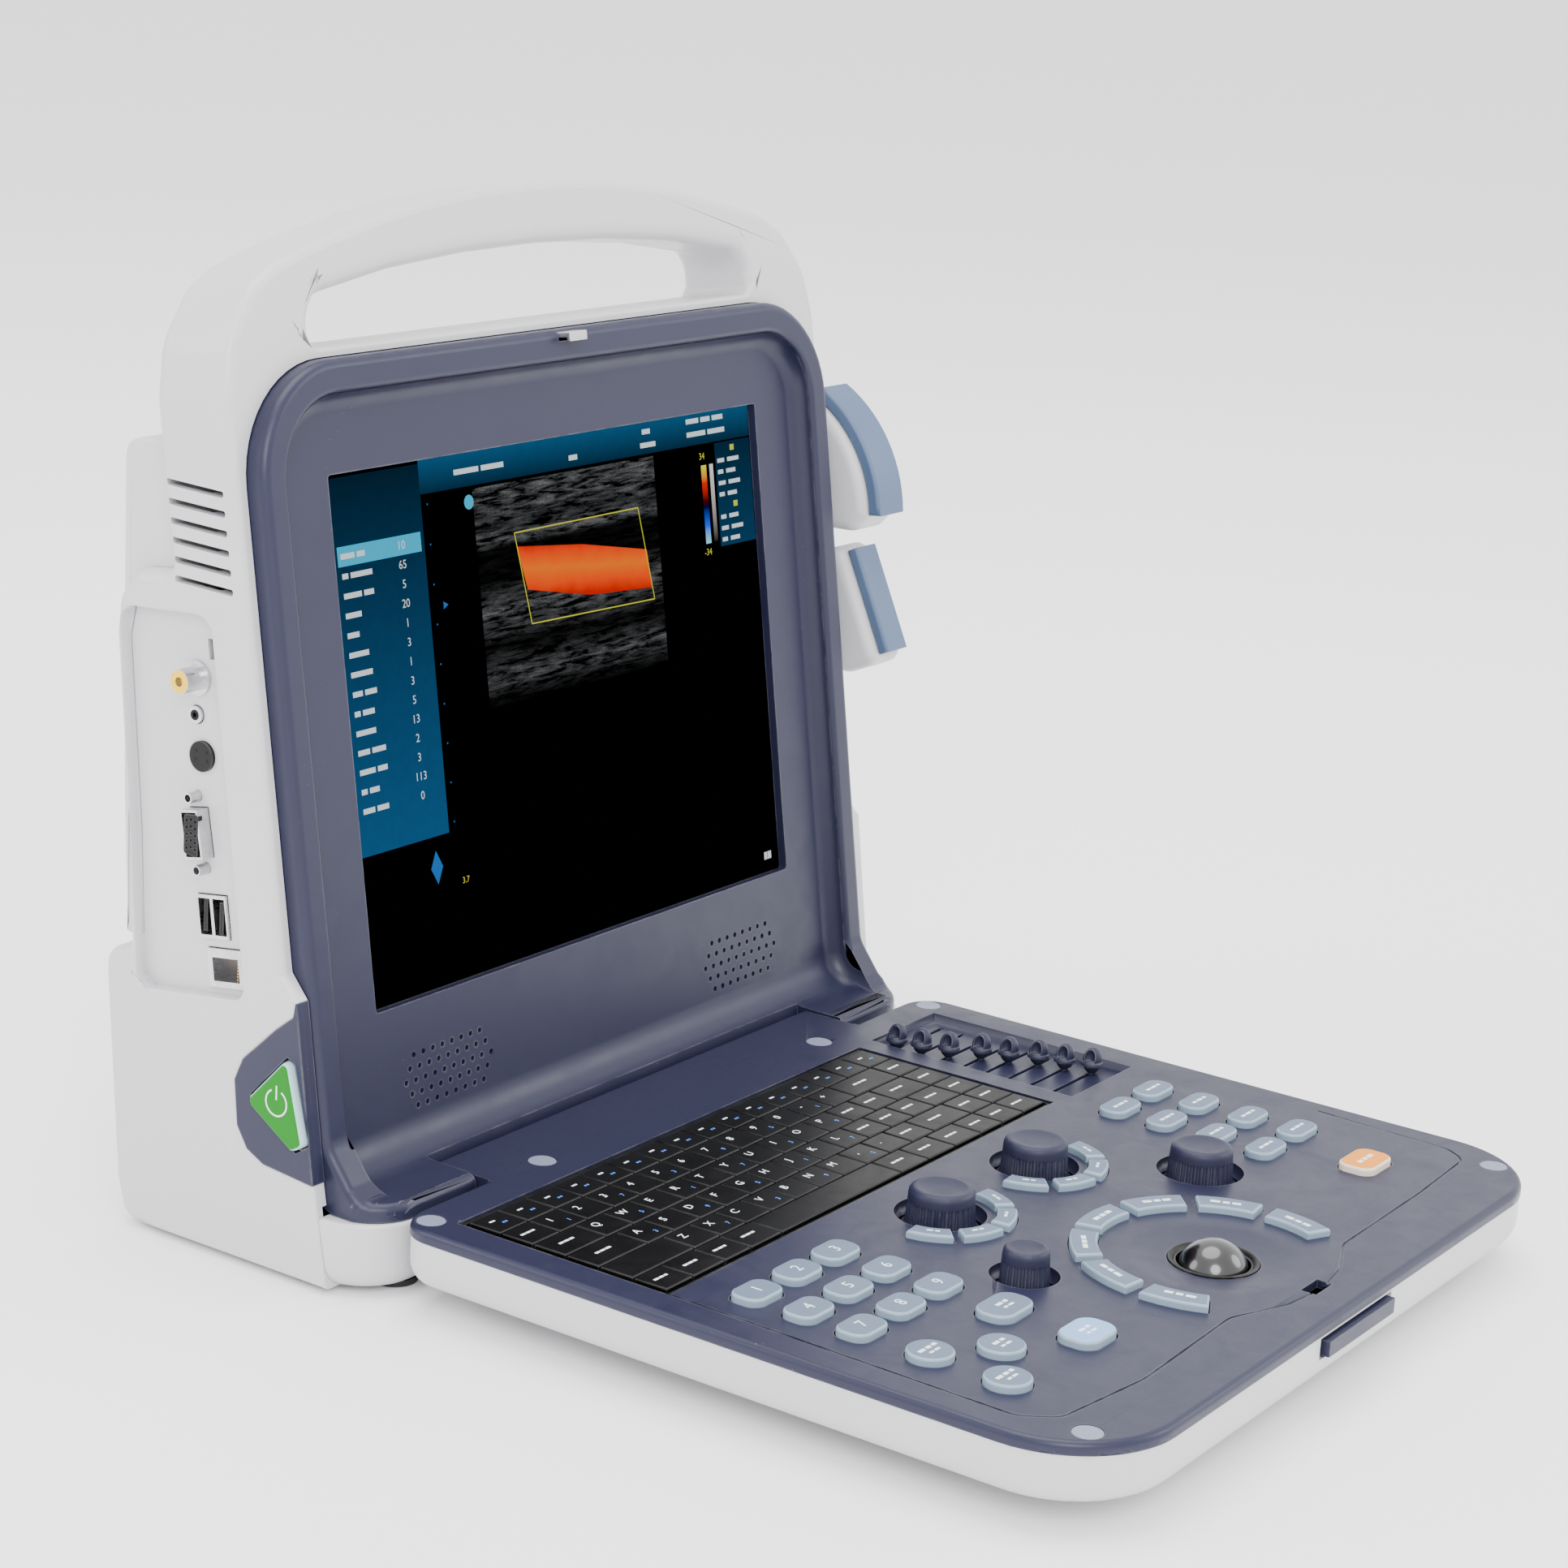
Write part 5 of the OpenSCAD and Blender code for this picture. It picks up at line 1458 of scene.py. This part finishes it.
def pillow(outline, half, soft):
    """A flat body with its outline across and up, and both its faces softly rounded off."""
    rim = [(0, 1.0), (0.06, 0.66), (0.2, 0.36), (0.42, 0.14), (0.7, 0.03), (1.0, 0.0)]
    steps = [(-half + soft * a, -soft * b) for a, b in rim]
    steps += [(-place, grow) for place, grow in reversed(steps)]
    return stack([[(p.x, place, p.y) for p in grown(outline, grow)] for place, grow in steps])


PROBE_X = 186
CONVEX_AT, CONVEX_LEAN = (-11, 247.5), 33
LINEAR_AT, LINEAR_LEAN = (-18.5, 185), 25


def build_probes():
    """The two pillow-edged probes with their lenses, and the finish of the holder on the right side."""
    dress(finish_named("shell"), "probe_holder")
    nose = [tuple(p) for p in arc((-60, 0), 54.4, -29, 29, 14)]
    convex = fillet(nose + [(-21, 29, 5), (-36, 19.8, 12), (-50, 14, 14), (-100, 11.5, 5), (-100, -11.5, 5),
                            (-50, -14, 14), (-36, -19.8, 12), (-21, -29, 5)], 6)
    linear = fillet([(-5.1, 25.2, 5.5), (-21, 25.2, 10), (-34, 18, 10), (-46, 12, 10), (-95, 10.5, 5),
                     (-95, -10.5, 5), (-46, -12, 10), (-34, -18, 10), (-21, -25.2, 10),
                     (-5.1, -25.2, 5.5)], 6)
    probes = (("convex_probe", convex, 12, CONVEX_AT, CONVEX_LEAN, -112),
              ("linear_probe", linear, 11, LINEAR_AT, LINEAR_LEAN, -107))
    for name, outline, half, spot, lean, tail in probes:
        place = probe_place(spot, lean)
        body = as_object(name + "_body_moulding", moved(pillow(outline, half, 4.5), place))
        relief = turned([(0, 0), (4.2, 0), (4.4, 1.5), (5, 2), (5, 13), (0, 13)], 32)
        stem = place @ Matrix.Translation((tail, 0, 0)) @ Matrix.Rotation(math.radians(90), 4, "Y")
        combine(body, moved(relief, stem), "UNION")
        finish(body, name + "_body", [finish_named("shell")], [name], 40)
    for lens, probe in (("convex_lens", "convex_probe"), ("linear_lens", "linear_probe")):
        low, high = node_box(lens)
        cover = merged_copy(lens, lens + "_cover")
        soften(cover, 1.6, lambda m, e: 1.6 if min(m.x - low.x, high.x - m.x) < 0.4 else 0, 30, 4)
        finish(cover, probe + "_body", [finish_named("lens")], [lens], 50)


# ---- Stage ----

def build_stage():
    """A plain pale floor, soft studio light and the camera."""
    bm = bmesh.new()
    bmesh.ops.create_grid(bm, x_segments=1, y_segments=1, size=40)
    floor = linked("floor", bm)
    material, _, shader, _ = fresh_material("pale floor")
    shader.inputs["Base Color"].default_value = (0.96, 0.96, 0.965, 1)
    shader.inputs["Roughness"].default_value = 0.85
    floor.data.materials.append(material)
    world = bpy.data.worlds.new("studio")
    world.use_nodes = True
    world.node_tree.nodes["Background"].inputs["Color"].default_value = (1, 1, 1, 1)
    world.node_tree.nodes["Background"].inputs["Strength"].default_value = 1.9
    bpy.context.scene.world = world
    lamps = [("front_left", (-1.9, -1.7, 1.9), 1.6, 60), ("front_right", (1.8, -2.0, 1.5), 1.5, 26),
             ("overhead", (0.0, 0.1, 2.4), 2.0, 52), ("back_left", (-1.6, 1.6, 1.3), 1.2, 16)]
    for name, spot, width, power in lamps:
        light = bpy.data.lights.new(name, "AREA")
        light.shape = "DISK"
        light.size = width
        light.energy = power
        lamp = bpy.data.objects.new(name, light)
        lamp.location = spot
        lamp.rotation_euler = (Vector((0, -0.1, 0.15)) - Vector(spot)).to_track_quat("-Z", "Y").to_euler()
        bpy.context.scene.collection.objects.link(lamp)
    turn, rise, roll = math.radians(-56.03), math.radians(15.13), math.radians(3.37)
    back = Vector((math.sin(turn) * math.cos(rise), -math.cos(turn) * math.cos(rise), math.sin(rise)))
    right = Vector((math.cos(turn), math.sin(turn), 0))
    up = back.cross(right)
    across = right * math.cos(roll) + up * math.sin(roll)
    upright = up * math.cos(roll) - right * math.sin(roll)
    data = bpy.data.cameras.new("camera")
    data.lens = 81.35
    data.sensor_width = 36
    camera = bpy.data.objects.new("camera", data)
    camera.matrix_world = Matrix.Translation((-0.9990, -0.7743, 0.4843)) @ \
        Matrix((across, upright, back)).transposed().to_4x4()
    bpy.context.scene.collection.objects.link(camera)
    bpy.context.scene.camera = camera


def dress_frame():
    """Finishes for the CAD nodes that stay as they are."""
    dress(finish_named("black"), "mains_inlet", "probe_sockets", "cooling_fan", "speakers", "battery")
    dress(finish_named("steel"), "hinge_brackets", "cover_screws", "hinge_pins")
    dress(finish_named("dull steel"), "power_supply", "storage_drive")
    dress(finish_named("board"), "main_board", "control_board")
    dress(finish_named("rubber"), "rubber_feet")


# ---- The add-on ----

class SCANNER_OT_stage(bpy.types.Operator):
    """A plain pale floor, soft studio light and the camera."""
    bl_idname = "scanner.stage"
    bl_label = "Stage"
    bl_options = {"REGISTER", "UNDO"}

    def execute(self, context):
        build_stage()
        return {"FINISHED"}


class SCANNER_OT_frame_finishes(bpy.types.Operator):
    """Finishes for the CAD nodes that stay as they are."""
    bl_idname = "scanner.frame_finishes"
    bl_label = "Frame finishes"
    bl_options = {"REGISTER", "UNDO"}

    def execute(self, context):
        dress_frame()
        return {"FINISHED"}


class SCANNER_OT_shell(bpy.types.Operator):
    """The white main shell: base, bulge and handle in one moulding, hollow, with its openings."""
    bl_idname = "scanner.shell"
    bl_label = "Main shell"
    bl_options = {"REGISTER", "UNDO"}

    def execute(self, context):
        build_shell()
        return {"FINISHED"}


class SCANNER_OT_back_cover(bpy.types.Operator):
    """The removable back cover, rounded all over and hollow."""
    bl_idname = "scanner.back_cover"
    bl_label = "Back cover"
    bl_options = {"REGISTER", "UNDO"}

    def execute(self, context):
        build_back_cover()
        return {"FINISHED"}


class SCANNER_OT_base_front(bpy.types.Operator):
    """The white front of the base, with its deep lower rounding."""
    bl_idname = "scanner.base_front"
    bl_label = "Base front"
    bl_options = {"REGISTER", "UNDO"}

    def execute(self, context):
        build_base_front()
        return {"FINISHED"}


class SCANNER_OT_bezel(bpy.types.Operator):
    """The slate bezel: raised rim, soft recess, swept ledge, screen opening and speaker grilles."""
    bl_idname = "scanner.bezel"
    bl_label = "Screen bezel"
    bl_options = {"REGISTER", "UNDO"}

    def execute(self, context):
        build_bezel()
        return {"FINISHED"}


class SCANNER_OT_display(bpy.types.Operator):
    """The display's generic picture: menu, header, tissue image, flow box and scales."""
    bl_idname = "scanner.display"
    bl_label = "Display picture"
    bl_options = {"REGISTER", "UNDO"}

    def execute(self, context):
        build_display()
        return {"FINISHED"}


class SCANNER_OT_power(bpy.types.Operator):
    """The slate side plate with its green push button and generic power mark."""
    bl_idname = "scanner.power"
    bl_label = "Power plate and button"
    bl_options = {"REGISTER", "UNDO"}

    def execute(self, context):
        build_power()
        return {"FINISHED"}


class SCANNER_OT_sockets(bpy.types.Operator):
    """The white socket field and its plated, black and coloured socket details."""
    bl_idname = "scanner.sockets"
    bl_label = "Socket field"
    bl_options = {"REGISTER", "UNDO"}

    def execute(self, context):
        build_sockets()
        return {"FINISHED"}


class SCANNER_OT_panel_cover(bpy.types.Operator):
    """The slate control panel cover with its wells, slots and fine grooved border."""
    bl_idname = "scanner.panel_cover"
    bl_label = "Panel cover"
    bl_options = {"REGISTER", "UNDO"}

    def execute(self, context):
        build_panel_cover()
        return {"FINISHED"}


class SCANNER_OT_panel_tray(bpy.types.Operator):
    """The white tray under the panel, with its deep lower rounding."""
    bl_idname = "scanner.panel_tray"
    bl_label = "Panel tray"
    bl_options = {"REGISTER", "UNDO"}

    def execute(self, context):
        build_panel_tray()
        return {"FINISHED"}


class SCANNER_OT_panel_fittings(bpy.types.Operator):
    """The panel's screw caps, its pull latch and the small catch on the rim."""
    bl_idname = "scanner.panel_fittings"
    bl_label = "Panel fittings"
    bl_options = {"REGISTER", "UNDO"}

    def execute(self, context):
        build_panel_fittings()
        return {"FINISHED"}


class SCANNER_OT_letter_keys(bpy.types.Operator):
    """The black keyboard: its keys, white legends and small blue second legends."""
    bl_idname = "scanner.letter_keys"
    bl_label = "Letter keys"
    bl_options = {"REGISTER", "UNDO"}

    def execute(self, context):
        build_letter_keys()
        return {"FINISHED"}


class SCANNER_OT_function_keys(bpy.types.Operator):
    """The soft function keys: printed tops with paler rounded sides."""
    bl_idname = "scanner.function_keys"
    bl_label = "Function keys"
    bl_options = {"REGISTER", "UNDO"}

    def execute(self, context):
        build_function_keys()
        return {"FINISHED"}


class SCANNER_OT_function_marks(bpy.types.Operator):
    """Generic digits and short bars printed on the function keys."""
    bl_idname = "scanner.function_marks"
    bl_label = "Function key marks"
    bl_options = {"REGISTER", "UNDO"}

    def execute(self, context):
        build_function_marks()
        return {"FINISHED"}


class SCANNER_OT_knobs(bpy.types.Operator):
    """The four ribbed knobs, each with a dark disc on its well's floor as painted shade."""
    bl_idname = "scanner.knobs"
    bl_label = "Knobs"
    bl_options = {"REGISTER", "UNDO"}

    def execute(self, context):
        build_knobs()
        return {"FINISHED"}


class SCANNER_OT_trackball(bpy.types.Operator):
    """The polished trackball in its black ring."""
    bl_idname = "scanner.trackball"
    bl_label = "Trackball"
    bl_options = {"REGISTER", "UNDO"}

    def execute(self, context):
        build_trackball()
        return {"FINISHED"}


class SCANNER_OT_sliders(bpy.types.Operator):
    """The eight gain sliders: domed thumb tabs with a scoop, each on a small collar."""
    bl_idname = "scanner.sliders"
    bl_label = "Gain sliders"
    bl_options = {"REGISTER", "UNDO"}

    def execute(self, context):
        build_sliders()
        return {"FINISHED"}


class SCANNER_OT_probes(bpy.types.Operator):
    """The two pillow-edged probes with their lenses, and the finish of the holder on the right side."""
    bl_idname = "scanner.probes"
    bl_label = "Probes and holder"
    bl_options = {"REGISTER", "UNDO"}

    def execute(self, context):
        build_probes()
        return {"FINISHED"}


class SCANNER_PT_pieces(bpy.types.Panel):
    """The sidebar panel that lists the scanner's sizes, colours and pieces."""
    bl_label = "Scanner"
    bl_idname = "SCANNER_PT_pieces"
    bl_space_type = "VIEW_3D"
    bl_region_type = "UI"
    bl_category = "Scanner"

    def draw(self, context):
        layout = self.layout
        for group in (context.scene.scanner_sizes, context.scene.scanner_colours):
            column = layout.column()
            for key in group.__annotations__:
                column.prop(group, key)
        column = layout.column()
        for operator in OPERATORS:
            column.operator(operator.bl_idname)


OPERATORS = (
    SCANNER_OT_stage,
    SCANNER_OT_frame_finishes,
    SCANNER_OT_shell,
    SCANNER_OT_back_cover,
    SCANNER_OT_base_front,
    SCANNER_OT_bezel,
    SCANNER_OT_display,
    SCANNER_OT_power,
    SCANNER_OT_sockets,
    SCANNER_OT_panel_cover,
    SCANNER_OT_panel_tray,
    SCANNER_OT_panel_fittings,
    SCANNER_OT_letter_keys,
    SCANNER_OT_function_keys,
    SCANNER_OT_function_marks,
    SCANNER_OT_knobs,
    SCANNER_OT_trackball,
    SCANNER_OT_sliders,
    SCANNER_OT_probes,
)
CLASSES = (ScannerSizes, ScannerColours, *OPERATORS, SCANNER_PT_pieces)


def register():
    """Adds the sizes, colours, operators and panel to Blender."""
    for item in CLASSES:
        bpy.utils.register_class(item)
    bpy.types.Scene.scanner_sizes = PointerProperty(type=ScannerSizes)
    bpy.types.Scene.scanner_colours = PointerProperty(type=ScannerColours)


def unregister():
    """Takes them away again."""
    del bpy.types.Scene.scanner_colours
    del bpy.types.Scene.scanner_sizes
    for item in reversed(CLASSES):
        bpy.utils.unregister_class(item)


def main():
    """Builds every piece in order."""
    register()
    for operator in OPERATORS:
        group, name = operator.bl_idname.split(".")
        if getattr(getattr(bpy.ops, group), name)() != {"FINISHED"}:
            raise RuntimeError(operator.bl_idname + " did not finish")


if __name__ == "__main__":
    main()
